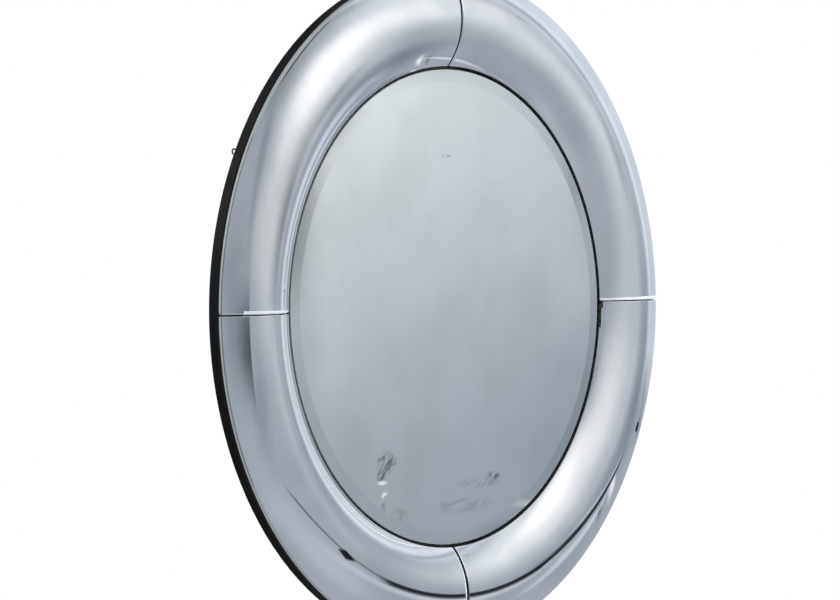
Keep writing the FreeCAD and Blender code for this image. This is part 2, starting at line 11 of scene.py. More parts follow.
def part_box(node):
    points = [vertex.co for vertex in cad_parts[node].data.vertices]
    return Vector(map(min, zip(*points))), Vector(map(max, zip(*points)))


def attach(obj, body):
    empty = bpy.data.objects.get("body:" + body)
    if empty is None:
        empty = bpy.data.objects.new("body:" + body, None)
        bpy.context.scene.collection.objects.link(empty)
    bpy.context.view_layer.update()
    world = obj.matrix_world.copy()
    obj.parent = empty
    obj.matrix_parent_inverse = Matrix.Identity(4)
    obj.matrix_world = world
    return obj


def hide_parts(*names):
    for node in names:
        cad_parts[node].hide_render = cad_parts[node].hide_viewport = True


# Looks of the round wall mirror: an arched ring of silvered glass in four segments round a bevelled mirror,
# bedded on a black board with screw eyes and bumpers at its back.
# Lengths are in metres. The front looks towards -Y and +Z is up, as in the frame.
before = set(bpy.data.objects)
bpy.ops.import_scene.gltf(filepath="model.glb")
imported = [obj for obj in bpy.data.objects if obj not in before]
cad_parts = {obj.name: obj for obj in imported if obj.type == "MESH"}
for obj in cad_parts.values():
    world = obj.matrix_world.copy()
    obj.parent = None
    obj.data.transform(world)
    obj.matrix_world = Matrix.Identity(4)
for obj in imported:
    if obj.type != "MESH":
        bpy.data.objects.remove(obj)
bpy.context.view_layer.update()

LOG = logging.getLogger("wall_mirror")
MM = 0.001
ROOT = "root"
WHITE = "#ffffff"
# Points that lie closer than this become one
WELD = 0.001 * MM

SIDES = ("left", "right")
QUARTERS = ("upper_right", "upper_left", "lower_left", "lower_right")
QUARTER_TURN = math.tau / len(QUARTERS)

Row = list[Vector]
Socket = bpy.types.NodeSocket
Pair = tuple[float, float]
Triple = tuple[float, float, float]


def linear_colour(hex_colour: str) -> tuple[float, float, float, float]:
    """Turn an sRGB hex colour into the linear colour that shaders use.

    Args:
        hex_colour: Six hex digits after a hash sign.

    Returns:
        Linear red, green, blue and an alpha of one.
    """
    channels = (int(hex_colour[at:at + 2], 16) / 255 for at in (1, 3, 5))
    red, green, blue = (c / 12.92 if c <= 0.04045 else ((c + 0.055) / 1.055) ** 2.4 for c in channels)
    return red, green, blue, 1.0


def per_metre(detail: float) -> float:
    """Give the texture scale that draws one detail of this size, in metres."""
    return 1 / detail


def limits(source: Pair, target: Pair = (0.0, 1.0)) -> dict[str, float]:
    """Give the inputs that map one range onto another."""
    return dict(zip(("From Min", "From Max", "To Min", "To Max"), source + target))


@dataclass(frozen=True)
class Grain:
    """Cloudy noise by its real size: one cloud, octaves of finer detail, and its density along each axis."""

    size: float
    detail: float = 4.0
    density: Triple = (1.0, 1.0, 1.0)


class NodeDraft:
    """The nodes of one material or of the world, with the steps that the finishes share."""

    # Places of the colour sockets in Blender's mix node
    MIX_A, MIX_B, MIX_RESULT = 6, 7, 2

    def __init__(self, owner: bpy.types.Material | bpy.types.World, bare: bool = False) -> None:
        """Take the owner's node tree.

        Args:
            owner: Material or world that gets the nodes.
            bare: True where the tree starts without a shader.
        """
        owner.use_nodes = True
        self.tree = owner.node_tree
        if bare:
            self.tree.nodes.clear()
        self.shader = self.tree.nodes.get("Principled BSDF")

    def add(self, kind: str, inputs: dict | None = None, out: str | int = 0, **settings: object) -> Socket | None:
        """Add one node with its settings and links.

        Args:
            kind: Blender's name of the node type, without its prefix.
            inputs: Values by the name or place of the input; a socket is linked, anything else is set.
            out: Name or place of the output that is wanted.
            settings: The node's own properties.

        Returns:
            That output, or nothing where the node has none.
        """
        node = self.tree.nodes.new(f"ShaderNode{kind}")
        for name, value in settings.items():
            setattr(node, name, value)
        for key, value in (inputs or {}).items():
            if isinstance(value, Socket):
                self.tree.links.new(value, node.inputs[key])
            else:
                node.inputs[key].default_value = value
        return node.outputs[out] if len(node.outputs) else None

    def lead(self, name: str, value: Socket) -> None:
        """Lead a value to an input of the material's shader."""
        self.tree.links.new(value, self.shader.inputs[name])

    def from_axis(self) -> tuple[Socket, bpy.types.NodeOutputs]:
        """Give the distance from the mirror's axis.

        Returns:
            The distance, and the outputs X, Y and Z of the place on the object.
        """
        parts = self.add("SeparateXYZ", {"Vector": self.add("TexCoord", out="Object")}).node.outputs
        flat = self.add("CombineXYZ", {"X": parts["X"], "Z": parts["Z"]})
        return self.add("VectorMath", {0: flat}, out="Value", operation="LENGTH"), parts

    def clouds(self, grain: Grain, span: Pair | None = None, target: Pair = (0.0, 1.0),
               where: Socket | None = None) -> Socket:
        """Draw cloudy noise, from zero to one or sharpened.

        Args:
            grain: Its size and shape.
            span: Range of the noise that is mapped smoothly onto the target, or none to keep the noise as it is.
            target: What comes out at the ends of the span.
            where: Place to read, or the object's own place.

        Returns:
            The clouds.
        """
        squeezed = self.add("Mapping", {"Vector": where or self.add("TexCoord", out="Object"),
                                        "Scale": grain.density})
        inputs = {"Vector": squeezed, "Scale": per_metre(grain.size), "Detail": grain.detail}
        noise = self.add("TexNoise", inputs, out="Fac")
        if span is None:
            return noise
        return self.add("MapRange", {"Value": noise, **limits(span, target)}, interpolation_type="SMOOTHSTEP")

    def tint(self, amount: Socket, colour: str) -> None:
        """Lay one more colour over the shader's base colour.

        Args:
            amount: Share of the new colour.
            colour: The new colour, as hex.
        """
        base = self.shader.inputs["Base Color"]
        under = base.links[0].from_socket if base.is_linked else tuple(base.default_value)
        inputs = {"Factor": amount, self.MIX_A: under, self.MIX_B: linear_colour(colour)}
        self.tree.links.new(self.add("Mix", inputs, out=self.MIX_RESULT, data_type="RGBA"), base)

    def relief(self, height: Socket, distance: float) -> None:
        """Raise the surface by a height from zero to one; distance is the real height of one, in metres."""
        self.lead("Normal", self.add("Bump", {"Height": height, "Distance": distance}))

    def show(self, share: Socket, first: Socket, second: Socket, output: str = "OutputMaterial") -> None:
        """Lead a mix of two shaders to the output node; share is that of the second."""
        mixed = self.add("MixShader", {0: share, 1: first, 2: second})
        self.add(output, {"Surface": mixed})


@dataclass(frozen=True)
class Finish:
    """A surface finish: what the bare material is, before its detail."""

    name: str
    colour: str
    roughness: float
    metallic: float = 0.0

    def material(self) -> bpy.types.Material:
        """Make the Blender material once and hand it out again after that.

        Returns:
            The finished material.
        """
        found = bpy.data.materials.get(self.name)
        if found:
            return found
        made = bpy.data.materials.new(self.name)
        made.diffuse_color = linear_colour(self.colour)
        nodes = NodeDraft(made)
        plain = {"Base Color": linear_colour(self.colour), "Metallic": self.metallic, "Roughness": self.roughness}
        for name, value in plain.items():
            nodes.shader.inputs[name].default_value = value
        self.dress(nodes)
        return made

    def dress(self, nodes: NodeDraft) -> None:
        """Add the finish's own detail; each finish says what that is."""


@dataclass(frozen=True)
class Mark:
    """A worn place in the silver of the flat mirror, seen from the front, in millimetres.

    It is drawn as slanting streaks inside a soft oval. A bare one shows the glass without its silver.
    """

    across: float
    up: float
    half_width: float
    half_height: float
    strength: float
    colour: str = "#7d8583"
    bare: bool = False
    slant_degrees: float = 40.0
    streak: float = 5.0
    oval_fade: Pair = (0.35, 1.0)
    torn_range: Pair = (0.36, 0.62)

    def worn(self, nodes: NodeDraft) -> Socket:
        """Draw the worn place.

        Args:
            nodes: The material's nodes.

        Returns:
            How much of the silver is gone.
        """
        wide, high = self.half_width * MM, self.half_height * MM
        place = nodes.add("TexCoord", out="Object")
        oval = nodes.add("Mapping", {"Vector": place, "Scale": (1 / wide, 0.0, 1 / high),
                                     "Location": (-self.across * MM / wide, 0.0, -self.up * MM / high)})
        reach = nodes.add("VectorMath", {0: oval}, out="Value", operation="LENGTH")
        inside = nodes.add("MapRange", {"Value": reach, **limits(self.oval_fade, (1.0, 0.0))},
                           interpolation_type="SMOOTHSTEP")
        slant = (0.0, math.radians(self.slant_degrees), 0.0)
        slanted = nodes.add("Mapping", {"Vector": place, "Rotation": slant})
        streaks = Grain(self.streak * MM, detail=3.0, density=(0.4, 1.0, 1.7))
        torn = nodes.clouds(streaks, self.torn_range, (0.0, self.strength), slanted)
        return nodes.add("Math", {0: inside, 1: torn}, operation="MULTIPLY")


@dataclass(frozen=True)
class SilveredGlass(Finish):
    """Silvered mirror glass, polished: a clear picture with a slight wave and a breath of dust."""

    wave: Grain = Grain(90 * MM, detail=1.0)
    wave_height: float = 0.05 * MM
    dust: Grain = Grain(35 * MM, detail=6.0)
    dust_range: Pair = (0.45, 0.8)
    dust_roughness: float = 0.05
    age: Grain = Grain(105 * MM)
    age_range: Pair = (0.35, 0.75)
    aged_colour: str = "#e3e6ea"
    marks: tuple[Mark, ...] = ()

    def dress(self, nodes: NodeDraft) -> None:
        """Add the wave of the glass, the dust and the worn silver.

        Args:
            nodes: The material's nodes.
        """
        nodes.lead("Roughness", nodes.clouds(self.dust, self.dust_range, (self.roughness, self.dust_roughness)))
        nodes.tint(nodes.clouds(self.age, self.age_range), self.aged_colour)
        silver = None
        for mark in self.marks:
            worn = mark.worn(nodes)
            nodes.tint(worn, mark.colour)
            if mark.bare:
                kept = nodes.add("Math", {0: 1.0, 1: worn}, operation="SUBTRACT")
                before = 1.0 if silver is None else silver
                silver = nodes.add("Math", {0: before, 1: kept}, operation="MULTIPLY")
        if silver is not None:
            nodes.lead("Metallic", silver)
        nodes.relief(nodes.clouds(self.wave), self.wave_height)


@dataclass(frozen=True)
class CloudedFinish(Finish):
    """A plain finish whose tone comes and goes in clouds over a fine relief.

    The clouds may be sharpened to a range and may take off some gloss; the relief is that of the clouds
    where it has no grain of its own.
    """

    clouded: str = "#9fa9a8"
    clouds: Grain = Grain(12 * MM)
    cloud_range: Pair | None = None
    duller: float = 0.0
    grain: Grain | None = None
    depth: float = 0.03 * MM

    def dress(self, nodes: NodeDraft) -> None:
        """Add the clouds and the relief.

        Args:
            nodes: The material's nodes.
        """
        clouds = nodes.clouds(self.clouds, self.cloud_range)
        nodes.tint(clouds, self.clouded)
        if self.duller:
            span = limits((0.0, 1.0), (self.roughness, self.roughness + self.duller))
            dull = nodes.add("MapRange", {"Value": clouds, **span}, interpolation_type="SMOOTHSTEP")
            nodes.lead("Roughness", dull)
        nodes.relief(nodes.clouds(self.grain or self.clouds), self.depth)


@dataclass(frozen=True)
class BlackLacquer(Finish):
    """Black lacquer rolled on fibreboard: satin, with orange peel, dust and rubbed edges."""

    radius: float = 400 * MM
    edge_wear: float = 1.6 * MM
    chips: Grain = Grain(4 * MM, detail=5.0)
    chip_range: Pair = (0.56, 0.64)
    chip_strength: float = 0.8
    fibre_colour: str = "#5a4635"
    dust: Grain = Grain(60 * MM, detail=6.0)
    dust_range: Pair = (0.4, 0.75)
    dust_colour: str = "#18181a"
    wiped: Grain = Grain(25 * MM, detail=5.0)
    wiped_range: Pair = (0.35, 0.7)
    duller: float = 0.18
    peel: Grain = Grain(1.8 * MM, detail=2.0)
    peel_height: float = 0.06 * MM

    def dress(self, nodes: NodeDraft) -> None:
        """Add orange peel, a dusty tone and brown fibre where the edges are rubbed.

        Args:
            nodes: The material's nodes.
        """
        reach, parts = nodes.from_axis()
        spans = ((reach, (self.radius - self.edge_wear, self.radius)), (parts["Y"], (-self.edge_wear, 0.0)))
        rim, back = (nodes.add("MapRange", {"Value": value, **limits(span)}, interpolation_type="SMOOTHSTEP")
                     for value, span in spans)
        arris = nodes.add("Math", {0: rim, 1: back}, operation="MULTIPLY")
        chips = nodes.clouds(self.chips, self.chip_range, (0.0, self.chip_strength))
        rubbed = nodes.add("Math", {0: arris, 1: chips}, operation="MULTIPLY")
        nodes.tint(nodes.clouds(self.dust, self.dust_range), self.dust_colour)
        nodes.tint(rubbed, self.fibre_colour)
        gloss = (self.roughness, self.roughness + self.duller)
        nodes.lead("Roughness", nodes.clouds(self.wiped, self.wiped_range, gloss))
        nodes.relief(nodes.clouds(self.peel), self.peel_height)


@dataclass(frozen=True)
class FoamRubber(Finish):
    """Closed-cell foam rubber: matt, with small cells that are drawn a little coarse to show."""

    cell: float = 0.7 * MM
    cell_range: Pair = (0.0, 0.8)
    cell_colour: str = "#232325"
    cell_depth: float = 0.2 * MM

    def dress(self, nodes: NodeDraft) -> None:
        """Add the cells.

        Args:
            nodes: The material's nodes.
        """
        inputs = {"Vector": nodes.add("TexCoord", out="Object"), "Scale": per_metre(self.cell)}
        cells = nodes.add("TexVoronoi", inputs, out="Distance")
        tone = nodes.add("MapRange", {"Value": cells, **limits(self.cell_range)}, interpolation_type="SMOOTHSTEP")
        nodes.tint(tone, self.cell_colour)
        nodes.relief(cells, self.cell_depth)


@dataclass(frozen=True)
class PlanedSoftwood(Finish):
    """Planed softwood: warm and matt, its year rings run along each rib, out from the middle."""

    year_ring: float = 2.6 * MM
    ring_density: Triple = (0.12, 1.0, 1.0)
    late_wood: str = "#a9743f"
    pores: Grain = Grain(0.5 * MM, detail=3.0, density=(0.08, 1.0, 1.0))
    pore_range: Pair = (0.55, 0.75)
    pore_strength: float = 0.5
    pore_colour: str = "#6e4a2a"
    pore_depth: float = 0.08 * MM

    def dress(self, nodes: NodeDraft) -> None:
        """Add year rings and pores along the rib.

        Args:
            nodes: The material's nodes.
        """
        reach, parts = nodes.from_axis()
        turn = nodes.add("Math", {0: parts["Z"], 1: parts["X"]}, operation="ARCTAN2")
        round_it = nodes.add("Math", {0: turn, 1: reach}, operation="MULTIPLY")
        along = nodes.add("CombineXYZ", {"X": reach, "Y": parts["Y"], "Z": round_it})
        drawn_out = nodes.add("Mapping", {"Vector": along, "Scale": self.ring_density})
        inputs = {"Vector": drawn_out, "Scale": per_metre(self.year_ring) / math.tau,
                  "Distortion": 3.0, "Detail": 3.0, "Detail Scale": 1.5}
        rings = nodes.add("TexWave", inputs, out="Fac", bands_direction="DIAGONAL")
        nodes.tint(rings, self.late_wood)
        nodes.tint(nodes.clouds(self.pores, self.pore_range, (0.0, self.pore_strength), along), self.pore_colour)
        nodes.relief(nodes.clouds(self.pores, where=along), self.pore_depth)


# Slumped glass with a wet silver coat: a soft, slightly wavy picture
RING_MIRROR = SilveredGlass("ring_silvered_glass", "#f7f7f9", 0.012, 1.0)
# Float glass, flatter than the ring, with the rubbed places of its age
CENTRE_MIRROR = SilveredGlass(
    "centre_silvered_glass", "#f0f3f4", 0.01, 1.0, wave=Grain(220 * MM, detail=1.0), wave_height=0.02 * MM,
    dust_roughness=0.035, aged_colour="#e4e9e8",
    marks=(Mark(-120, -180, 22, 18, 0.85, "#7c8583"),
           Mark(-129, -195, 11, 8, 0.85, "#6a7270"),
           Mark(-127, -203, 12, 3.5, 0.8, "#d4d8d6", bare=True),
           Mark(-124, -218, 9, 5, 0.8, "#ced3d0", bare=True),
           Mark(-126, -234, 6, 14, 0.7, "#b4bab6"),
           Mark(-98, -243, 20, 12, 0.5, "#b9beb9"),
           Mark(-206, -202, 18, 22, 0.6, "#a9b0ab"),
           Mark(77, -205, 15, 7, 0.9, "#6d7573"),
           Mark(50, -212, 50, 9, 0.4, "#83898b", streak=8.0),
           Mark(20, -238, 70, 12, 0.3, "#848a8c", slant_degrees=15.0, streak=8.0),
           Mark(-8, 180, 14, 3, 0.6)))
# The bevel, polished by hand on a felt wheel: a little duller than the face
BEVEL_MIRROR = SilveredGlass("centre_bevel_silvered_glass", "#eaedee", 0.05, 1.0, wave=Grain(40 * MM, detail=1.0),
                             wave_height=0.04 * MM, dust_roughness=0.08, aged_colour="#e0e4e4")
# Lines that the grinding wheel leaves along an edge
WHEEL_LINES = Grain(0.35 * MM, detail=2.0, density=(0.1, 1.0, 0.1))
# The bare ground edge of the glass: pale, a little green and matt
GLASS_EDGE = CloudedFinish("ground_glass_edge", "#c3cbc9", 0.42, grain=WHEEL_LINES)
# The polished end of a segment, bare of silver: pale and clear, a colour that is a painted highlight along the
# seams
SEAM_HIGHLIGHT_EDGE = CloudedFinish("polished_glass_end_painted_highlight", "#eceff8", 0.25, clouded="#c6ccd8", grain=WHEEL_LINES)
# Protective paint over the silver: dull grey with the sagging of a poured coat
GLASS_BACK = CloudedFinish("mirror_backing_paint", "#5d6367", 0.55, clouded="#7b8084",
                           clouds=Grain(14 * MM, detail=2.0, density=(1.0, 1.0, 0.3)), depth=0.15 * MM)
# Moulded rubber and sealer: nearly black, matt, with a fine grain and a dusty bloom
BLOOM = dict(clouded="#3a3a3b", clouds=Grain(3 * MM, detail=5.0), cloud_range=(0.4, 0.7),
             grain=Grain(0.4 * MM), depth=0.04 * MM)
BUMPER_BLACK = CloudedFinish("moulded_black_rubber", "#1d1d1e", 0.75, **BLOOM)
# The glass edges that lie in a joint, sealed against damp so that the silver does not creep
SEALED_EDGE = CloudedFinish("black_edge_sealer", "#050506", 0.9, **BLOOM)
# Mirror mastic from a gun, pressed flat: off-white, dull, smeared
MASTIC_PALE = CloudedFinish("mirror_mastic_pale", "#cfcabb", 0.7, clouded="#a8a290", clouds=Grain(5 * MM),
                            depth=0.2 * MM)
# Steel that has lost its shine: tarnish in clouds that takes off gloss, over a drawn surface
TARNISH = dict(clouds=Grain(1.6 * MM, detail=6.0), cloud_range=(0.42, 0.68), duller=0.22,
               grain=Grain(0.3 * MM), depth=0.012 * MM)
SCREW_ZINC = CloudedFinish("zinc_plated_steel", "#b9b4a0", 0.32, 1.0, clouded="#7b7461", **TARNISH)
EYE_STEEL = CloudedFinish("dull_steel_wire", "#7d7c7a", 0.42, 1.0, clouded="#4c4a47", **TARNISH)
BOARD_BLACK = BlackLacquer("black_lacquered_fibreboard", "#0b0b0c", 0.3)
BEDDING_BLACK = FoamRubber("black_foam_rubber", "#08080a", 0.9)
PAD_GREY = FoamRubber("grey_foam_pad", "#3a3b3d", 0.95)
RIB_WOOD = PlanedSoftwood("planed_softwood", "#cfa36b", 0.62)


def put_in_scene(name: str, data: bpy.types.ID) -> bpy.types.Object:
    """Make an object and link it to the scene.

    Args:
        name: Its name.
        data: Its mesh, lamp or camera.

    Returns:
        The object.
    """
    made = bpy.data.objects.new(name, data)
    bpy.context.scene.collection.objects.link(made)
    return made


class MeshDraft:
    """Points and faces of one piece, gathered before they become a mesh."""

    def __init__(self) -> None:
        """Start with nothing."""
        self.points: Row = []
        self.faces: list[tuple[int, ...]] = []
        self.finish_of_face: list[int] = []

    def loft(self, rows: list[Row], finish_of_column: list[int] | None = None, cap_finish: int = 0,
             closed: bool = False, looped: bool = True) -> None:
        """Lay faces between rows of points that all have the same number of points.

        Args:
            rows: Rows of points, in order.
            finish_of_column: Finish of the faces between a column and the next, or none for the first finish.
            cap_finish: Finish of the two ends.
            closed: True where the last row meets the first, and no end is needed.
            looped: True where each row is a closed loop.
        """
        start, count = len(self.points), len(rows[0])
        finishes = finish_of_column or [0] * count
        self.points += [point for row in rows for point in row]
        for this in range(len(rows) if closed else len(rows) - 1):
            following = (this + 1) % len(rows)
            for column in range(count if looped else count - 1):
                beside = (column + 1) % count
                corners = ((this, column), (this, beside), (following, beside), (following, column))
                self.faces.append(tuple(start + row * count + place for row, place in corners))
                self.finish_of_face.append(finishes[column])
        if looped and not closed:
            for row in (0, len(rows) - 1):
                self.cap(start + row * count, count, cap_finish)

    def cap(self, first: int, count: int, finish: int) -> None:
        """Close a loop with a ladder of faces between its two halves.

        Args:
            first: Number of the loop's first point.
            count: How many points the loop has.
            finish: Finish of the faces.
        """
        for step in range(count // 2 - 1):
            opposite = count - 1 - step
            self.faces.append(tuple(first + place for place in (step, step + 1, opposite - 1, opposite)))
            self.finish_of_face.append(finish)

    def build(self, name: str, *finishes: Finish, crease: float = 30.0) -> bpy.types.Object:
        """Make the Blender object.

        Args:
            name: Name of the piece.
            finishes: Finishes, in the order in which the faces number them.
            crease: Edges that turn by more degrees than this stay sharp.

        Returns:
            The new piece, in place.
        """
        mesh = bpy.data.meshes.new(name)
        mesh.from_pydata(self.points, [], self.faces)
        mesh.polygons.foreach_set("material_index", self.finish_of_face)
        for finish in finishes:
            mesh.materials.append(finish.material())
        work = bmesh.new()
        work.from_mesh(mesh)
        bmesh.ops.remove_doubles(work, verts=work.verts, dist=WELD)
        bmesh.ops.dissolve_degenerate(work, edges=work.edges, dist=WELD)
        bmesh.ops.recalc_face_normals(work, faces=work.faces)
        work.to_mesh(mesh)
        work.free()
        mesh.shade_smooth()
        mesh.set_sharp_from_angle(angle=math.radians(crease))
        return put_in_scene(name, mesh)


def fit_piece(piece: bpy.types.Object, slot: str, *nodes: str) -> None:
    """Seat a finished piece in the frame and report it.

    Args:
        piece: The piece, in place.
        slot: Material slot of the piece; not used.
        nodes: Nodes of the frame that the piece stands for.
    """
    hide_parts(*nodes)
    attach(piece, ROOT)
    LOG.info("%s: %d faces, stands for %s", piece.name, len(piece.data.polygons), ", ".join(nodes))


def dress_node(node: str, finish: Finish) -> None:
    """Give a node of the frame its finish and report it.

    Args:
        node: Name of the node.
        finish: Its finish.
    """
    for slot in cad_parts[node].material_slots:
        slot.material = finish.material()
    LOG.info("%s: %s", node, finish.name)


def on_ring(radius: float, angle: float, depth: float) -> Vector:
    """Give the place at a radius, an angle from +X towards +Z, and a depth along Y."""
    return Vector((radius * math.cos(angle), depth, radius * math.sin(angle)))


def even_steps(start: float, end: float, steps: int) -> list[float]:
    """Divide the way from one value to another into even steps, both ends included."""
    return [start + (end - start) * step / steps for step in range(steps + 1)]


def middle_of(node: str) -> Vector:
    """Give the middle of a node's box, moved to the plane of the board's back."""
    low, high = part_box(node)
    return Vector(((low.x + high.x) / 2, 0.0, (low.z + high.z) / 2))


class RingFace(IntEnum):
    """What covers a face of a segment, by the number of its finish."""

    SILVER = 0
    EDGE = 1
    PAINT = 2
    SEALER = 3
    # Pale bare glass whose colour is a painted highlight
    CLEAR_PAINTED_HIGHLIGHT = 4


@dataclass(frozen=True)
class SectionPoint:
    """A point of the ring's section before its ends are rounded."""

    radius: float
    depth: float
    outward: Pair
    end_rounding: float


@dataclass(frozen=True)
class RolledEnd:
    """How the front of a segment's end is rolled and what covers it.

    Reach is the share of the full roll; depth counts the rows of faces from the joint that get the finish, over
    the given share of the width, counted from the gap. A clear joint has no sealer on the outer half of its end.
    """

    reach: float = 1.0
    finish: RingFace = RingFace.SILVER
    depth: int = 0
    width: float = 1.0
    clear_joint: bool = False


class End(Enum):
    """The ends that the segments have."""

    SILVERED = RolledEnd()
    # Pale bare glass on the rolled front: a painted highlight along the seam
    BARE_PAINTED_HIGHLIGHT = RolledEnd(finish=RingFace.CLEAR_PAINTED_HIGHLIGHT, depth=9, clear_joint=True)
    BARE_INSIDE_PAINTED_HIGHLIGHT = RolledEnd(finish=RingFace.CLEAR_PAINTED_HIGHLIGHT, depth=9, width=0.7, clear_joint=True)
    # Sealer carried onto the rolled front of ends that face left: a real sealed joint, widened as a painted dark
    # reflection
    SEALED_DARK_REFLECTION = RolledEnd(finish=RingFace.SEALER, depth=6)
    SEALED_THIN_DARK_REFLECTION = RolledEnd(finish=RingFace.SEALER, depth=4)
    ARRIS = RolledEnd(reach=0.3, clear_joint=True)


@dataclass
class GlassRing:
    """The arched ring: four segments of bent mirror glass with rolled front edges."""

    outer_radius: float
    rim_front: float = -20 * MM
    gap_front: float = -18 * MM
    width: float = 114 * MM
    rise: float = 22.2 * MM
    glass: float = 4 * MM
    edge_roll: float = 3 * MM
    corner_radius: float = 4 * MM
    seam_gap: float = 0.8 * MM
    arch_steps: int = 60
    roll_steps: int = 8
    notch_rows: int = 5
    sweep_steps: int = 72
    end_shares: tuple[float, ...] = (0.0, 0.012, 0.05, 0.11, 0.19, 0.29, 0.41, 0.54, 0.68, 0.84, 1.0, 1.25)
    # First and last end of each segment, counted from +X towards +Z; the painted highlights and painted dark
    # reflections of the seams are set end by end
    ends: tuple[tuple[End, End], ...] = ((End.BARE_PAINTED_HIGHLIGHT, End.SEALED_THIN_DARK_REFLECTION), (End.SILVERED, End.BARE_INSIDE_PAINTED_HIGHLIGHT),
                                         (End.ARRIS, End.BARE_PAINTED_HIGHLIGHT), (End.SEALED_DARK_REFLECTION, End.ARRIS))

    def __post_init__(self) -> None:
        """Work out the arch from its chord and its rise."""
        self.inner_radius = self.outer_radius - self.width
        self.middle_radius = self.inner_radius + self.width / 2
        chord = Vector((self.width, self.rim_front - self.gap_front))
        self.arch_radius = (chord.length_squared / 4 + self.rise ** 2) / (2 * self.rise)
        middle = Vector((self.inner_radius, self.gap_front)) + chord / 2
        backward = Vector((-chord.y, chord.x)).normalized()
        self.centre = middle + backward * (self.arch_radius - self.rise)

    def depth_on_arch(self, radius: float, arch_radius: float) -> float:
        """Give the depth of an arc round the arch's centre, at a radius of the ring."""
        return self.centre.y - math.sqrt(arch_radius ** 2 - (radius - self.centre.x) ** 2)

    def underside_depth(self, radius: float) -> float:
        """Give the depth of the glass's underside, with the flat feet at its two edges."""
        foot = self.gap_front if radius < self.centre.x else self.rim_front
        return min(foot + self.glass, self.depth_on_arch(radius, self.arch_radius - self.glass))

    def arc_point(self, centre: Pair, arc_radius: float, facing: float, rounding: float) -> SectionPoint:
        """Give the point of an arc that faces an angle, counted from straight forward.

        Args:
            centre: Radius and depth of the arc's centre.
            arc_radius: Radius of the arc.
            facing: The angle.
            rounding: How far the ends are rounded there.

        Returns:
            The point.
        """
        outward = (math.sin(facing), -math.cos(facing))
        return SectionPoint(centre[0] + arc_radius * outward[0], centre[1] + arc_radius * outward[1], outward,
                            rounding)

    def front_section(self) -> list[SectionPoint]:
        """Walk the front of the section from the inner foot to the outer foot.

        Returns:
            The section's points with the direction that each faces.
        """
        turns = []
        for side, wall in ((-1, self.inner_radius), (1, self.outer_radius)):
            roll_x = wall - side * self.edge_roll
            roll_y = self.depth_on_arch(roll_x, self.arch_radius - self.edge_roll)
            lean = math.asin((roll_x - self.centre.x) / (self.arch_radius - self.edge_roll))
            turn = []
            for facing in even_steps(side * math.pi / 2, lean, self.roll_steps):
                share = (abs(facing) - abs(lean)) / (math.pi / 2 - abs(lean))
                rounding = self.edge_roll + share * (self.corner_radius - self.edge_roll)
                turn.append(self.arc_point((roll_x, roll_y), self.edge_roll, facing, rounding))
            turns.append(turn)
        leans = [math.asin(turn[-1].outward[0]) for turn in turns]
        crown = [self.arc_point(tuple(self.centre), self.arch_radius, facing, self.edge_roll)
                 for facing in even_steps(*leans, self.arch_steps)[1:-1]]
        inner_foot = SectionPoint(self.inner_radius, self.gap_front + self.glass, (-1.0, 0.0), self.corner_radius)
        outer_foot = SectionPoint(self.outer_radius, self.rim_front + self.glass, (1.0, 0.0), self.corner_radius)
        return [inner_foot, *turns[0], *crown, *reversed(turns[1]), outer_foot]

    def row(self, section: list[SectionPoint], angle: float, from_end: float) -> Row:
        """Give the loop of the glass at one angle, drawn in where the end is rounded.

        Args:
            section: The front's points.
            angle: Angle on the ring.
            from_end: Angle to the nearer end of the segment.

        Returns:
            The front from inner to outer foot, then the underside back again.
        """
        front, under = [], []
        for point in section:
            to_go = max(point.end_rounding - point.radius * from_end, 0.0)
            drop = point.end_rounding - math.sqrt(point.end_rounding ** 2 - to_go ** 2)
            radius = point.radius - point.outward[0] * drop
            depth = point.depth - point.outward[1] * drop
            bottom = self.underside_depth(radius)
            if point in (section[0], section[-1]):
                depth = bottom
            front.append(on_ring(radius, angle, min(depth, bottom)))
            under.append(on_ring(radius, angle, bottom))
        return front + under[::-1]

    def quarter_angles(self, place: int) -> Pair:
        """Give the angles between which a quarter's segment lies, less half a seam at each end."""
        half_seam = self.seam_gap / 2 / self.middle_radius
        return place * QUARTER_TURN + half_seam, (place + 1) * QUARTER_TURN - half_seam

    def finish_ends(self, draft: MeshDraft, place: int, across: int, first: int, last: int) -> None:
        """Give the rolled ends their own finish: pale bare glass as a painted highlight, or sealer as a painted
        dark reflection.

        Args:
            draft: The segment.
            place: Number of its quarter.
            across: Number of faces in one row.
            first: First silvered face of a row.
            last: Face after the last silvered face of a row.
        """
        rows, rungs = len(draft.points) // across - 1, across // 2 - 1
        for side, end in enumerate(self.ends[place]):
            rolled = end.value
            for step in range(rolled.depth):
                row = step if side == 0 else rows - 1 - step
                for column in range(first, first + round((last - first) * rolled.width)):
                    draft.finish_of_face[row * across + column] = rolled.finish
            for rung in range(across // 4, rungs) if rolled.clear_joint else ():
                draft.finish_of_face[rows * across + side * rungs + rung] = RingFace.EDGE

    def wear_corner(self, draft: MeshDraft, across: int, first: int) -> None:
        """Chip the silver off the inner corner at a segment's last end, in a notch that narrows to one face.

        Args:
            draft: The segment.
            across: Number of faces in one row.
            first: First silvered face of a row.
        """
        rows = len(draft.points) // across - 1
        rolled = len(self.end_shares)
        for step in range(rolled - 1 + self.notch_rows):
            for column in range(first, first + (2 if step < rolled else 1)):
                draft.finish_of_face[(rows - 1 - step) * across + column] = RingFace.SEALER

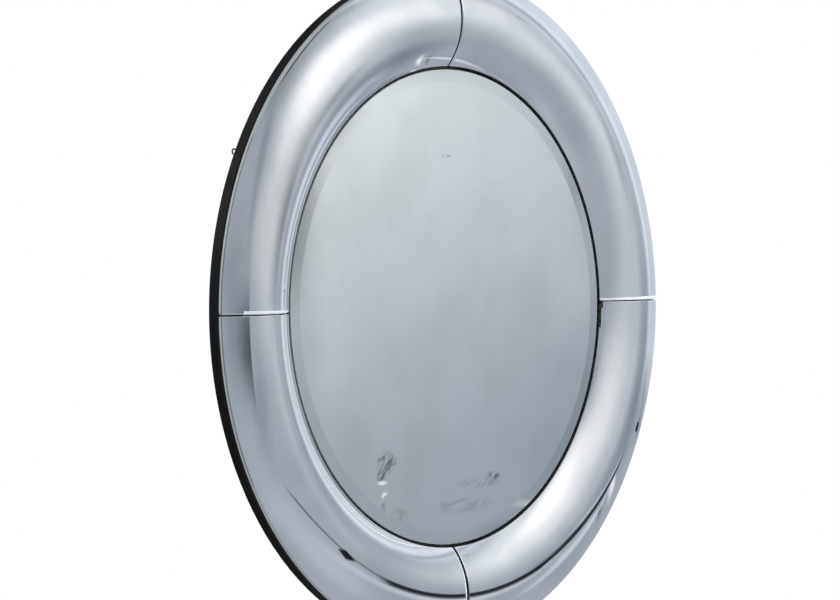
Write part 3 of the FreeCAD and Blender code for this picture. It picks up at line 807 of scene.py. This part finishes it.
    def make_segment(self, quarter: str, place: int) -> bpy.types.Object:
        """Make one segment.

        Args:
            quarter: Name of the segment's quarter.
            place: Number of the quarter, counted from +X towards +Z.

        Returns:
            The segment.
        """
        section = self.front_section()
        start, end = self.quarter_angles(place)
        full = self.corner_radius / self.inner_radius
        reach = [full * end.value.reach for end in self.ends[place]]
        opening = [start + share * reach[0] for share in self.end_shares]
        closing = [end - share * reach[1] for share in reversed(self.end_shares)]
        angles = opening + even_steps(opening[-1], closing[0], self.sweep_steps)[1:-1] + closing
        rows = [self.row(section, angle, full * min((angle - start) / reach[0], (end - angle) / reach[1]))
                for angle in angles]
        draft = MeshDraft()
        sealed = 1 + self.roll_steps
        silvered = len(section) - 2 - sealed
        front = [RingFace.SEALER] * sealed + [RingFace.SILVER] * silvered + [RingFace.EDGE]
        back = [RingFace.EDGE] + [RingFace.PAINT] * (len(section) - 1) + [RingFace.SEALER]
        across = len(front) + len(back)
        draft.loft(rows, front + back, cap_finish=RingFace.SEALER)
        self.finish_ends(draft, place, across, sealed, len(front) - 1)
        if quarter == "lower_right":
            self.wear_corner(draft, across, sealed)
        return draft.build(f"ring_mirror_{quarter}", RING_MIRROR, GLASS_EDGE, GLASS_BACK, SEALED_EDGE, SEAM_HIGHLIGHT_EDGE)

    def build(self) -> None:
        """Make and seat the four segments."""
        for place, quarter in enumerate(QUARTERS):
            fit_piece(self.make_segment(quarter, place), "ring_mirror", f"ring_glass_{quarter}")


@dataclass(frozen=True)
class LathePoint:
    """A corner of a turned profile and the finish of the face that follows it."""

    radius: float
    depth: float
    finish: int = 0


# Dents of an uneven outline: height, how many go round, and how far the phase shifts them
DENTS = ((1.0, 2, 1), (0.6, 5, 2), (0.4, 9, 0))
DENT_REACH = 2


def turn_profile(draft: MeshDraft, profile: list[LathePoint], centre: Vector, steps: int,
                 unevenness: float = 0.0, phase: float = 0.0) -> None:
    """Turn a profile about an axis along Y.

    Args:
        draft: Mesh that gets the turned body.
        profile: Corners from the axis at one end to the axis at the other.
        centre: Place of the axis; its Y is added to every depth.
        steps: How many steps make the full turn.
        unevenness: Share of the radius by which the outline falls short in places.
        phase: Angle that tells one uneven outline from another.
    """
    rows = []
    for angle in even_steps(0.0, math.tau, steps)[:-1]:
        waves = (height * math.sin(count * angle + shift * phase) for height, count, shift in DENTS)
        reach = 1 - unevenness * sum(waves, start=DENT_REACH) / (2 * DENT_REACH)
        rows.append([centre + on_ring(point.radius * reach, angle, point.depth) for point in profile])
    draft.loft(rows, [point.finish for point in profile], closed=True, looped=False)


def softened(corners: list[Pair], rounding: float, passes: int = 3) -> list[Pair]:
    """Round the corners of a closed outline by cutting them again and again.

    Args:
        corners: The outline's corners.
        rounding: How far from a corner the first cut starts.
        passes: How many times the corners are cut.

    Returns:
        The softer outline.
    """
    for _ in range(passes):
        cut = []
        for at, corner in enumerate(corners):
            for other in (corners[at - 1], corners[(at + 1) % len(corners)]):
                share = min(rounding / math.dist(corner, other), 0.25)
                cut.append((corner[0] + share * (other[0] - corner[0]), corner[1] + share * (other[1] - corner[1])))
        corners, rounding = cut, rounding / 3
    return corners


class CentreFace(IntEnum):
    """What covers a face of the centre mirror, by the number of its finish."""

    SILVER = 0
    EDGE = 1
    PAINT = 2
    BEVEL = 3


@dataclass
class CentreMirror:
    """The flat mirror in the middle, with a wide polished bevel."""

    radius: float
    front: float
    back: float
    bevel_width: float = 15 * MM
    bevel_drop: float = 0.8 * MM
    arris: float = 0.3 * MM
    steps: int = 288
    crease: float = 2.5

    def build(self) -> None:
        """Turn the glass and seat it."""
        edge = self.front + self.bevel_drop
        inside = self.radius - self.arris
        profile = [
            LathePoint(0.0, self.front),
            LathePoint(self.radius - self.bevel_width, self.front, CentreFace.BEVEL),
            LathePoint(inside, edge - self.arris * self.bevel_drop / self.bevel_width, CentreFace.EDGE),
            LathePoint(self.radius, edge + self.arris, CentreFace.EDGE),
            LathePoint(self.radius, self.back - self.arris, CentreFace.EDGE),
            LathePoint(inside, self.back, CentreFace.PAINT),
            LathePoint(0.0, self.back),
        ]
        draft = MeshDraft()
        turn_profile(draft, profile, Vector(), self.steps)
        piece = draft.build("centre_mirror_bevelled", CENTRE_MIRROR, GLASS_EDGE, GLASS_BACK, BEVEL_MIRROR,
                            crease=self.crease)
        fit_piece(piece, "centre_mirror_glass", "centre_mirror")


@dataclass
class BackBoard:
    """The black board: its body, ribs and screws keep the frame's own shapes."""

    rib_count: int = 12

    def build(self) -> None:
        """Dress the board, the ribs and their screws."""
        dress_node("back_board", BOARD_BLACK)
        for number in range(1, self.rib_count + 1):
            dress_node(f"ring_rib_{number:02d}", RIB_WOOD)
        dress_node("rib_screws", SCREW_ZINC)


@dataclass
class Bedding:
    """What lies between glass and board: strips under the ring's edges, rib pads and dabs of mastic.

    The pads thin out over pad_side, a share of their half width, to pad_edge, a share of their thickness.
    """

    ring: GlassRing
    board_front: float
    glass_back: float
    recess: float = 0.8 * MM
    strip_width: float = 10 * MM
    bulge: float = 0.35 * MM
    strip_rounding: float = 0.35 * MM
    strip_steps: int = 60
    seat_steps: int = 10
    clearance: float = 0.3 * MM
    pad_thickness: float = 2 * MM
    pad_width: float = 18 * MM
    pad_inset: float = 16 * MM
    pad_count: int = 12
    pad_steps: int = 40
    pad_shares: tuple[float, ...] = (0.0, 0.4, 0.8, 0.89, 0.95, 0.985, 1.0)
    pad_side: float = 0.2
    pad_edge: float = 0.4
    dab_radius: float = 20 * MM
    dab_circle: float = 190 * MM
    dab_count: int = 6
    dab_steps: int = 72
    dab_shares: tuple[Pair, ...] = ((0, 0), (0.93, 0), (0.985, 0.2), (1, 0.5), (0.985, 0.8), (0.93, 1), (0, 1))
    dab_unevenness: float = 0.06
    dab_phase: float = 1.7

    def strip_section(self, side: int) -> list[Pair]:
        """Draw the section of a strip, with the bulge of squeezed foam at its open side.

        Args:
            side: One for the strip at the rim, minus one for the strip at the gap.

        Returns:
            Radius and depth of its corners.
        """
        ring = self.ring
        edge, front = (ring.outer_radius, ring.rim_front) if side > 0 else (ring.inner_radius, ring.gap_front)
        near = edge - side * self.recess
        far = near - side * self.strip_width
        seat = front + ring.glass
        arch = ring.arch_radius - ring.glass - self.clearance
        foot = ring.centre.x + side * math.sqrt(arch ** 2 - (ring.centre.y - seat) ** 2)
        top = [(radius, ring.depth_on_arch(radius, arch)) for radius in even_steps(foot, far, self.seat_steps)]
        middle = (near + side * self.bulge, (self.board_front + seat) / 2)
        return [(far, self.board_front), (near, self.board_front), middle, (near, seat), *top]

    def make_strip(self, name: str, side: int, place: int) -> bpy.types.Object:
        """Sweep one strip along its quarter.

        Args:
            name: Name of the strip.
            side: One at the rim, minus one at the gap.
            place: Number of the quarter.

        Returns:
            The strip.
        """
        section = softened(self.strip_section(side), self.strip_rounding)
        draft = MeshDraft()
        draft.loft([[on_ring(radius, angle, depth) for radius, depth in section]
                    for angle in even_steps(*self.ring.quarter_angles(place), self.strip_steps)])
        return draft.build(name, BEDDING_BLACK, crease=50.0)

    def make_pad(self, number: int) -> bpy.types.Object:
        """Make one foam pad, bent over the arched top of its rib, with soft sides.

        Args:
            number: Number of the rib, from one.

        Returns:
            The pad.
        """
        ring = self.ring
        angle = math.tau * (number - 0.5) / self.pad_count
        half_turn = self.pad_width / 2 / ring.middle_radius
        core = ring.arch_radius - ring.glass - self.clearance - self.pad_thickness / 2
        radii = even_steps(ring.inner_radius + self.pad_inset, ring.outer_radius - self.pad_inset, self.pad_steps)
        rows = []
        for share in [-share for share in self.pad_shares[:0:-1]] + [*self.pad_shares]:
            edge = max(abs(share) - (1 - self.pad_side), 0.0) / self.pad_side
            half = self.pad_thickness / 2 * (self.pad_edge + (1 - self.pad_edge) * math.sqrt(1 - edge ** 2))
            top, under = ([on_ring(radius, angle + share * half_turn, ring.depth_on_arch(radius, arch))
                           for radius in radii] for arch in (core + half, core - half))
            rows.append(top + under[::-1])
        draft = MeshDraft()
        draft.loft(rows)
        return draft.build(f"foam_pad_{number:02d}", PAD_GREY, crease=60.0)

    def make_mastic(self) -> bpy.types.Object:
        """Make the seven dabs, pressed out unevenly between board and glass.

        Returns:
            The dabs.
        """
        thickness = self.board_front - self.glass_back
        profile = [LathePoint(across * self.dab_radius, self.glass_back + down * thickness)
                   for across, down in self.dab_shares]
        turns = [math.tau * dab / self.dab_count for dab in range(self.dab_count)]
        draft = MeshDraft()
        for dab, centre in enumerate([Vector()] + [on_ring(self.dab_circle, turn, 0.0) for turn in turns]):
            turn_profile(draft, profile, centre, self.dab_steps, self.dab_unevenness, self.dab_phase * dab)
        return draft.build("mastic_dabs", MASTIC_PALE, crease=70.0)

    def build(self) -> None:
        """Make and seat the strips, the pads and the mastic."""
        for place, quarter in enumerate(QUARTERS):
            for edge, side in (("rim", 1), ("gap", -1)):
                strip = self.make_strip(f"foam_rubber_{edge}_{quarter}", side, place)
                fit_piece(strip, "bedding_black", f"{edge}_strip_{quarter}")
        for number in range(1, self.pad_count + 1):
            pad = self.make_pad(number)
            fit_piece(pad, "pad_foam", f"rib_pad_{number:02d}")
        fit_piece(self.make_mastic(), "mastic", "mirror_mastic")


@dataclass
class ScrewEyes:
    """The two screw eyes of bent steel wire that hold the hanging wire."""

    standoff: float = 12.2 * MM
    eye_radius: float = 2.95 * MM
    wire_radius: float = 0.9 * MM
    thread_depth: float = 10 * MM
    thread_pitch: float = 1.25 * MM
    thread_core: float = 0.7 * MM
    thread_steps: int = 6
    tip_length: float = 2 * MM
    tip_share: float = 0.15
    neck_start: float = 7 * MM
    neck_bend: float = 3.2 * MM
    neck_turn: float = math.radians(25)
    neck_steps: int = 10
    open_turn: float = math.radians(325)
    eye_steps: int = 56
    around: int = 20

    def on_eye(self, turn: float) -> Vector:
        """Give a place on the middle of the eye's wire; no turn is the side next to the shank."""
        return Vector((0.0, self.standoff - self.eye_radius * math.cos(turn), self.eye_radius * math.sin(turn)))

    def path(self) -> Row:
        """Lay the middle of the wire from the tip through the neck round the eye.

        Returns:
            Points along the wire, with the eye's own axis as Y.
        """
        steps = round((self.thread_depth + self.neck_start) / (self.thread_pitch / self.thread_steps))
        shank = [Vector((0.0, y, 0.0)) for y in even_steps(-self.thread_depth, self.neck_start, steps)]
        bend, landing = Vector((0.0, self.standoff - self.neck_bend, 0.0)), self.on_eye(self.neck_turn)
        neck = [(1 - t) ** 2 * shank[-1] + 2 * t * (1 - t) * bend + t * t * landing
                for t in even_steps(0.0, 1.0, self.neck_steps)[1:]]
        eye = [self.on_eye(turn) for turn in even_steps(self.neck_turn, self.open_turn, self.eye_steps)[1:]]
        return shank + neck + eye

    def radius_at(self, depth: float, turn: float) -> float:
        """Give the wire's radius: a point, then a thread, then the plain wire.

        Args:
            depth: Place along the shank; above zero is outside the board.
            turn: Angle round the wire.

        Returns:
            The radius.
        """
        if depth >= 0:
            return self.wire_radius
        winding = (depth / self.thread_pitch - turn / math.tau) % 1.0
        crest = self.thread_core + (self.wire_radius - self.thread_core) * (1 - abs(2 * winding - 1)) ** 2
        from_tip = (depth + self.thread_depth) / self.tip_length
        return crest * min(1.0, self.tip_share + (1 - self.tip_share) * from_tip)

    def make_eye(self, side: str) -> bpy.types.Object:
        """Bend one eye where its shank meets the board.

        Args:
            side: Left or right.

        Returns:
            The eye.
        """
        place, path = middle_of(f"screw_eye_{side}"), self.path()
        rows, across = [], Vector((1.0, 0.0, 0.0))
        for at, point in enumerate(path):
            along = (path[min(at + 1, len(path) - 1)] - path[max(at - 1, 0)]).normalized()
            upward = across.cross(along)
            row = []
            for turn in even_steps(0.0, math.tau, self.around)[:-1]:
                reach = self.radius_at(point.y, turn)
                row.append(place + point + reach * (math.cos(turn) * across + math.sin(turn) * upward))
            rows.append(row)
        draft = MeshDraft()
        draft.loft(rows)
        return draft.build(f"wire_eye_{side}", EYE_STEEL, crease=50.0)

    def build(self) -> None:
        """Make and seat both eyes."""
        for side in SIDES:
            fit_piece(self.make_eye(side), "eye_steel", f"screw_eye_{side}")


@dataclass
class WallBumpers:
    """The two rubber bumpers that keep the lower edge off the wall."""

    radius: float = 6 * MM
    height: float = 5 * MM
    steps: int = 64
    shares: tuple[Pair, ...] = ((0, 0.96), (0.3, 0.985), (0.62, 1), (0.78, 0.97), (0.88, 0.89), (0.94, 0.78),
                                (0.98, 0.5), (1, 0.16), (1, 0), (0, 0))

    def build(self) -> None:
        """Make and seat both bumpers."""
        profile = [LathePoint(across * self.radius, up * self.height) for across, up in self.shares]
        for side in SIDES:
            draft = MeshDraft()
            turn_profile(draft, profile, middle_of(f"wall_bumper_{side}"), self.steps)
            fit_piece(draft.build(f"rubber_bumper_{side}", BUMPER_BLACK), "bumper_rubber", f"wall_bumper_{side}")


class Wall(Enum):
    """The planes that carry the cards: the walls of the mirrored room, and two planes in front of the glass.

    The flat mirror sees only the middle of the near and the close plane, and the arched ring sees the rest.
    Each has the axes that run across it and up it, the way it faces, and how far it stands off.
    """

    FRONT = ((1, 0, 0), (0, 0, 1), (0, 1, 0), 1.2)
    RIGHT = ((0, 1, 0), (0, 0, 1), (-1, 0, 0), 1.33)
    LEFT = ((0, 1, 0), (0, 0, 1), (1, 0, 0), 2.4)
    BACK = ((1, 0, 0), (0, 0, 1), (0, -1, 0), 1.6)
    CEILING = ((1, 0, 0), (0, 1, 0), (0, 0, -1), 3.0)
    FLOOR = ((1, 0, 0), (0, 1, 0), (0, 0, 1), 3.0)
    NEAR = ((1, 0, 0), (0, 0, 1), (0, 1, 0), 0.35)
    CLOSE = ((1, 0, 0), (0, 0, 1), (0, 1, 0), 0.12)


@dataclass(frozen=True)
class Card:
    """A soft-edged patch of light or shade.

    Centre and half size are across and up its plane; softness is the share of the half size that fades out.
    A one-sided card fades from right to left and keeps its right end sharp; a softness of two takes all of it.
    Turn and tilt are in degrees; a tilted card leans with its top towards the glass.
    """

    name: str
    centre: Pair
    half_size: Pair
    colour: str
    opacity: float = 1.0
    softness: Pair = (1.0, 1.0)
    turn: float = 0.0
    tilt: float = 0.0
    rounded: bool = False
    one_sided: bool = False
    strength: float = 1.0

    def material(self) -> bpy.types.Material:
        """Make the card's light, which fades towards its edges.

        Returns:
            The material.
        """
        made = bpy.data.materials.new(f"card_{self.name}")
        nodes = NodeDraft(made, bare=True)
        place = nodes.add("TexCoord", out="Object")
        if self.rounded:
            reaches = [nodes.add("VectorMath", {0: place}, out="Value", operation="LENGTH")]
        else:
            parts = nodes.add("SeparateXYZ", {"Vector": place}).node.outputs
            sideways = "MULTIPLY" if self.one_sided else "ABSOLUTE"
            reaches = [nodes.add("Math", {0: parts["X"], 1: -1.0}, operation=sideways),
                       nodes.add("Math", {0: parts["Y"]}, operation="ABSOLUTE")]
        share = self.opacity
        for reach, soft in zip(reaches, self.softness):
            fade = limits((1.0 - soft, 1.0), (1.0, 0.0))
            faded = nodes.add("MapRange", {"Value": reach, **fade}, interpolation_type="SMOOTHSTEP")
            share = nodes.add("Math", {0: faded, 1: share}, operation="MULTIPLY")
        light = nodes.add("Emission", {"Color": linear_colour(self.colour), "Strength": self.strength})
        nodes.show(share, nodes.add("BsdfTransparent"), light)
        return made


@dataclass(frozen=True)
class Lamp:
    """A soft square lamp that looks at the mirror; the glass sees the cards instead of it."""

    name: str
    place: Triple
    size: float
    watts: float


def aim(thing: bpy.types.Object, place: Triple, target: Triple = (0.0, 0.0, 0.0), roll: float = 0.0) -> None:
    """Put a lamp or a camera in its place and turn it to its target.

    Args:
        thing: The lamp or the camera.
        place: Its place.
        target: What it looks at.
        roll: Its turn about its own view, in degrees.
    """
    thing.location = place
    thing.rotation_mode = "QUATERNION"
    looking = (Vector(target) - Vector(place)).to_track_quat("-Z", "Y")
    thing.rotation_quaternion = looking @ Quaternion((0, 0, 1), math.radians(roll))


def cut_sheet(name: str, half: float, material: bpy.types.Material) -> bpy.types.Object:
    """Make a flat square sheet of the studio.

    Args:
        name: Its name.
        half: Half its side.
        material: What covers it.

    Returns:
        The sheet.
    """
    mesh = bpy.data.meshes.new(name)
    corners = [(-half, -half, 0), (half, -half, 0), (half, half, 0), (-half, half, 0)]
    mesh.from_pydata(corners, [], [(0, 1, 2, 3)])
    mesh.materials.append(material)
    return put_in_scene(name, mesh)


@dataclass
class Studio:
    """The pale studio: cards that only reflections see, a floor, the world and lamps."""

    cards: dict[Wall, list[Card]]
    lamps: tuple[Lamp, ...]
    layer: float = 0.05 * MM
    ambient: float = 0.55
    floor_level: float = -3.05
    floor_size: float = 30.0
    floor_colour: str = "#f4f4f4"

    def hang(self, card: Card, wall: Wall, layer: int) -> None:
        """Hang one card where only mirrored rays meet it.

        Args:
            card: The card.
            wall: What it hangs on.
            layer: Number of cards that already hang behind it.
        """
        piece = cut_sheet(f"card_{card.name}", 1.0, card.material())
        across, up, facing, distance = wall.value
        axes = Matrix((across, up, facing)).transposed().to_4x4()
        plane = Matrix.Translation((layer * self.layer - distance) * Vector(facing)) @ axes
        turn = Matrix.Rotation(math.radians(card.turn), 4, "Z")
        tilt = Matrix.Rotation(math.radians(card.tilt), 4, "X")
        placed = Matrix.Translation((*card.centre, 0.0)) @ turn @ tilt
        piece.matrix_world = plane @ placed @ Matrix.Diagonal((*card.half_size, 1.0, 1.0))
        piece.visible_camera = piece.visible_diffuse = piece.visible_shadow = False

    def seen(self, nodes: NodeDraft) -> Socket:
        """Tell whether a ray is seen directly, by reflection or through glass.

        Args:
            nodes: Nodes of the world or the floor.

        Returns:
            One where it is, else zero.
        """
        rays = nodes.add("LightPath").node.outputs
        share = rays["Is Camera Ray"]
        for kind in ("Is Glossy Ray", "Is Transmission Ray"):
            share = nodes.add("Math", {0: share, 1: rays[kind]}, operation="MAXIMUM")
        return share

    def light_world(self) -> None:
        """Make the world: white to the eye, a soft even light to everything else."""
        world = bpy.data.worlds.new("pale_studio")
        bpy.context.scene.world = world
        nodes = NodeDraft(world, bare=True)
        even, white = (nodes.add("Background", {"Color": linear_colour(WHITE), "Strength": strength})
                       for strength in (self.ambient, 1.0))
        nodes.show(self.seen(nodes), even, white, "OutputWorld")

    def lay_floor(self) -> None:
        """Lay the pale floor, well below the hanging mirror; it shows white and takes the shadow."""
        made = bpy.data.materials.new("pale_floor")
        nodes = NodeDraft(made, bare=True)
        paint = nodes.add("BsdfDiffuse", {"Color": linear_colour(self.floor_colour)})
        white = nodes.add("Emission", {"Color": linear_colour(WHITE), "Strength": 1.0})
        nodes.show(self.seen(nodes), paint, white)
        floor = cut_sheet("studio_floor", self.floor_size / 2, made)
        floor.location.z = self.floor_level

    def hang_lamp(self, lamp: Lamp) -> None:
        """Hang one lamp.

        Args:
            lamp: The lamp.
        """
        data = bpy.data.lights.new(lamp.name, "AREA")
        data.size, data.energy = lamp.size, lamp.watts
        piece = put_in_scene(lamp.name, data)
        aim(piece, lamp.place)
        piece.visible_glossy = False

    def build(self) -> None:
        """Set up the whole studio."""
        for wall, cards in self.cards.items():
            for layer, card in enumerate(cards):
                self.hang(card, wall, layer)
            LOG.info("studio, %s: %d cards", wall.name.lower(), len(cards))
        self.light_world()
        self.lay_floor()
        for lamp in self.lamps:
            self.hang_lamp(lamp)


@dataclass
class PhotoCamera:
    """The camera of the photograph: far to the left of the mirror, with a long lens."""

    eye: Triple = (-3.8175, -3.2427, 0.1241)
    target: Triple = (-0.0535, -0.016, 0.0096)
    roll: float = -0.579
    lens_mm: float = 179.6
    reach: Pair = (0.1, 60.0)

    def build(self) -> None:
        """Make the camera and look through it."""
        data = bpy.data.cameras.new("photo_camera")
        data.lens = self.lens_mm
        data.clip_start, data.clip_end = self.reach
        camera = put_in_scene("photo_camera", data)
        aim(camera, self.eye, self.target, self.roll)
        bpy.context.scene.camera = camera


LAMPS = (Lamp("soft_key", (1.1, -2.2, 1.9), 1.4, 45.0), Lamp("soft_fill", (-2.6, -1.6, 0.9), 1.8, 18.0),
         Lamp("soft_low", (1.4, -1.6, -1.4), 1.0, 34.0), Lamp("soft_back", (-1.6, 2.4, 1.6), 1.8, 26.0))

SHADE, STAND = "#3a3f45", "#14181c"
HARD = (0.001, 0.001)
LEAN = 28.0
# What stands round the mirror, on each plane from the back layer to the front one
CARDS = {
    # a large soft light high up at the right, a dull corner at the left
    Wall.FRONT: [
        Card("front_wall", (-0.45, 0.0), (2.05, 3.1), "#a5acb5", softness=HARD),
        Card("dull_corner", (-0.5, 1.75), (0.65, 0.75), "#87908c", opacity=0.8),
        Card("dark_beam", (-0.07, 2.04), (0.62, 0.1), "#45423e", opacity=0.9, softness=(0.3, 0.6), turn=43.0),
        Card("light_spill_up", (0.8, 1.9), (0.9, 1.3), "#dfe5ec", opacity=0.6),
        Card("floor_haze", (0.2, -1.15), (1.3, 0.65), "#c6ced8", opacity=0.45),
        Card("corner_pale_front", (1.33, 2.0), (1.1, 2.45), "#edf4f6", opacity=0.97, softness=(1.0, 0.41)),
        Card("glow", (0.6, 0.85), (1.1, 1.05), WHITE, opacity=0.95, rounded=True, strength=1.1),
        Card("glow_low", (0.45, 0.25), (0.95, 0.5), WHITE, opacity=0.48, rounded=True),
        Card("glow_core", (0.55, 0.87), (0.85, 0.62), WHITE, rounded=True, strength=1.25),
        Card("left_band", (-0.42, 0.75), (0.16, 0.95), "#7c868e", opacity=0.55, turn=11.0),
    ],
    # streaks and bands of light and shade
    Wall.RIGHT: [
        Card("right_wall", (0.2, 0.0), (1.7, 3.1), "#a5acb6", softness=HARD),
        Card("right_top", (0.45, 1.35), (1.3, 1.3), "#dfe6f0", opacity=0.75, softness=(0.3, 0.4)),
        Card("corner_pale_right", (-1.2, 2.0), (0.72, 2.45), "#edf4f6", opacity=0.97, softness=(1.0, 0.41)),
        Card("right_dark_line", (-0.43, 0.75), (0.1, 0.75), "#a3acb9", opacity=0.8, softness=(1.0, 0.3)),
        Card("right_pale_line", (-0.24, 0.6), (0.13, 0.85), WHITE, opacity=0.95, softness=(0.9, 0.4)),
        Card("right_spot", (-0.68, 0.75), (0.07, 0.06), "#8f9caa", opacity=0.6, rounded=True),
        Card("right_low", (-0.55, -0.25), (0.65, 0.32), "#6f7a86", opacity=0.65),
        Card("right_streak", (-0.1, -0.21), (0.45, 0.05), "#3a4047", opacity=0.4, softness=(0.9, 0.9), turn=-17.0),
        Card("right_streak_end", (0.08, -0.3), (0.22, 0.045), "#24282e", opacity=0.4, turn=-6.0),
        Card("right_speck", (0.0, -0.305), (0.1, 0.014), "#0a0c0e", opacity=0.97, softness=(0.3, 0.4)),
        Card("right_bright_streak", (-0.28, -0.455), (0.3, 0.035), "#fafcff", opacity=0.9, turn=-12.0),
        Card("right_dark_streak", (-0.3, -0.525), (0.34, 0.022), "#58616b", opacity=0.7, turn=-12.0),
        Card("right_far", (0.5, 0.69), (0.98, 1.01), "#dbe3ee", opacity=0.7, softness=(0.2, 0.25)),
    ],
    Wall.LEFT: [Card("left_wall", (1.3, 0.0), (2.8, 3.1), "#787e85", softness=HARD)],
    Wall.BACK: [
        Card("back_wall", (0.0, 0.0), (5.0, 3.1), "#3c3e42", softness=HARD),
        Card("back_light", (-1.9, 1.5), (2.0, 2.0), "#d5d8da", opacity=0.8),
    ],
    Wall.CEILING: [Card("ceiling", (-0.5, 0.3), (1.9, 1.5), "#b4bac0", softness=HARD)],
    Wall.FLOOR: [Card("floor_sheet", (-0.5, 0.3), (1.9, 1.5), "#9ea3ae", softness=HARD)],
    # a white cloth under a dark rail on a stand, and shades and lights that only the ring shows
    Wall.NEAR: [
        Card("cloth", (1.1, -0.53), (0.48, 0.15), "#e9eef4", opacity=0.62, softness=(0.6, 0.8)),
        Card("cloth_hem", (0.3, -0.43), (0.55, 0.045), "#e2e8ee", opacity=0.6),
        Card("near_shade", (-0.08, 0.16), (0.28, 0.19), SHADE, opacity=0.27, softness=(0.8, 1.0)),
        Card("near_shade_left", (-0.52, 0.1), (0.24, 0.36), SHADE, opacity=0.18),
        Card("left_dusk", (-0.5, -0.065), (0.178, 0.18), "#4d565d", opacity=0.58, softness=(2.0, 1.0),
             one_sided=True),
        Card("left_blotch", (-0.402, -0.07), (0.078, 0.13), "#252c33", opacity=0.6, softness=(2.0, 1.0),
             one_sided=True),
        Card("near_shade_top", (0.02, 0.9), (0.32, 0.18), SHADE, opacity=0.32),
        Card("near_shade_right", (1.22, 0.72), (0.2, 0.3), SHADE, opacity=0.2),
        Card("near_light_top", (0.5, 0.53), (0.25, 0.17), WHITE, opacity=0.45),
        Card("near_light_right", (1.02, 0.1), (0.34, 0.3), WHITE, opacity=0.08),
        Card("rail_gleam", (0.84, -0.316), (0.34, 0.01), WHITE, opacity=0.6, softness=(0.5, 1.0), tilt=LEAN),
        Card("rail_thin", (-0.0, -0.349), (0.25, 0.011), "#2a2f35", opacity=0.62, softness=(0.4, 0.8), turn=-7.6),
        Card("rail_neck", (0.38, -0.389), (0.24, 0.041), STAND, opacity=0.96, softness=(0.25, 0.5), tilt=LEAN),
        Card("rail", (0.87, -0.362), (0.47, 0.046), STAND, opacity=0.94, softness=(0.5, 0.5), turn=1.2, tilt=LEAN),
        Card("rail_pad", (0.052, -0.372), (0.042, 0.02), "#0a0c0e", opacity=0.97, softness=(0.4, 0.5), turn=24.0),
    ],
    # shades and lights on the ring's steep inner zone
    Wall.CLOSE: [
        Card("close_shade", (0.14, 0.02), (0.2, 0.27), SHADE, opacity=0.06),
        Card("close_light", (-0.1, -0.02), (0.055, 0.28), WHITE, opacity=0.12),
        Card("close_light_right", (0.35, 0.03), (0.09, 0.1), WHITE, opacity=0.08),
        Card("close_light_crest", (-0.28, 0.19), (0.035, 0.12), WHITE, opacity=0.14, turn=-14.0),
        Card("close_band_left", (-0.19, 0.11), (0.075, 0.18), SHADE, opacity=0.55, turn=-10.0),
        Card("close_band_corner", (-0.115, 0.232), (0.11, 0.045), SHADE, opacity=0.42, turn=30.0),
        Card("close_band_low", (-0.335, -0.13), (0.045, 0.12), SHADE, opacity=0.24),
        Card("close_band_top", (0.04, 0.315), (0.25, 0.06), SHADE, opacity=0.3),
        Card("close_band_right", (0.395, 0.17), (0.045, 0.14), SHADE, opacity=0.25),
    ],
}


def build_mirror() -> None:
    """Build the mirror's sub-assemblies, then the studio and the camera."""
    glass_low, glass_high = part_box("centre_mirror")
    board_low, board_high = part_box("back_board")
    ring = GlassRing(outer_radius=board_high.x)
    ring.build()
    CentreMirror(radius=glass_high.x, front=glass_low.y, back=glass_high.y).build()
    BackBoard().build()
    Bedding(ring, board_front=board_low.y, glass_back=glass_high.y).build()
    ScrewEyes().build()
    WallBumpers().build()
    Studio(CARDS, LAMPS).build()
    PhotoCamera().build()
    bpy.context.scene.view_settings.view_transform = "Standard"


if __name__ == "__main__":
    logging.basicConfig(level=logging.INFO, format="%(name)s: %(message)s")
    build_mirror()
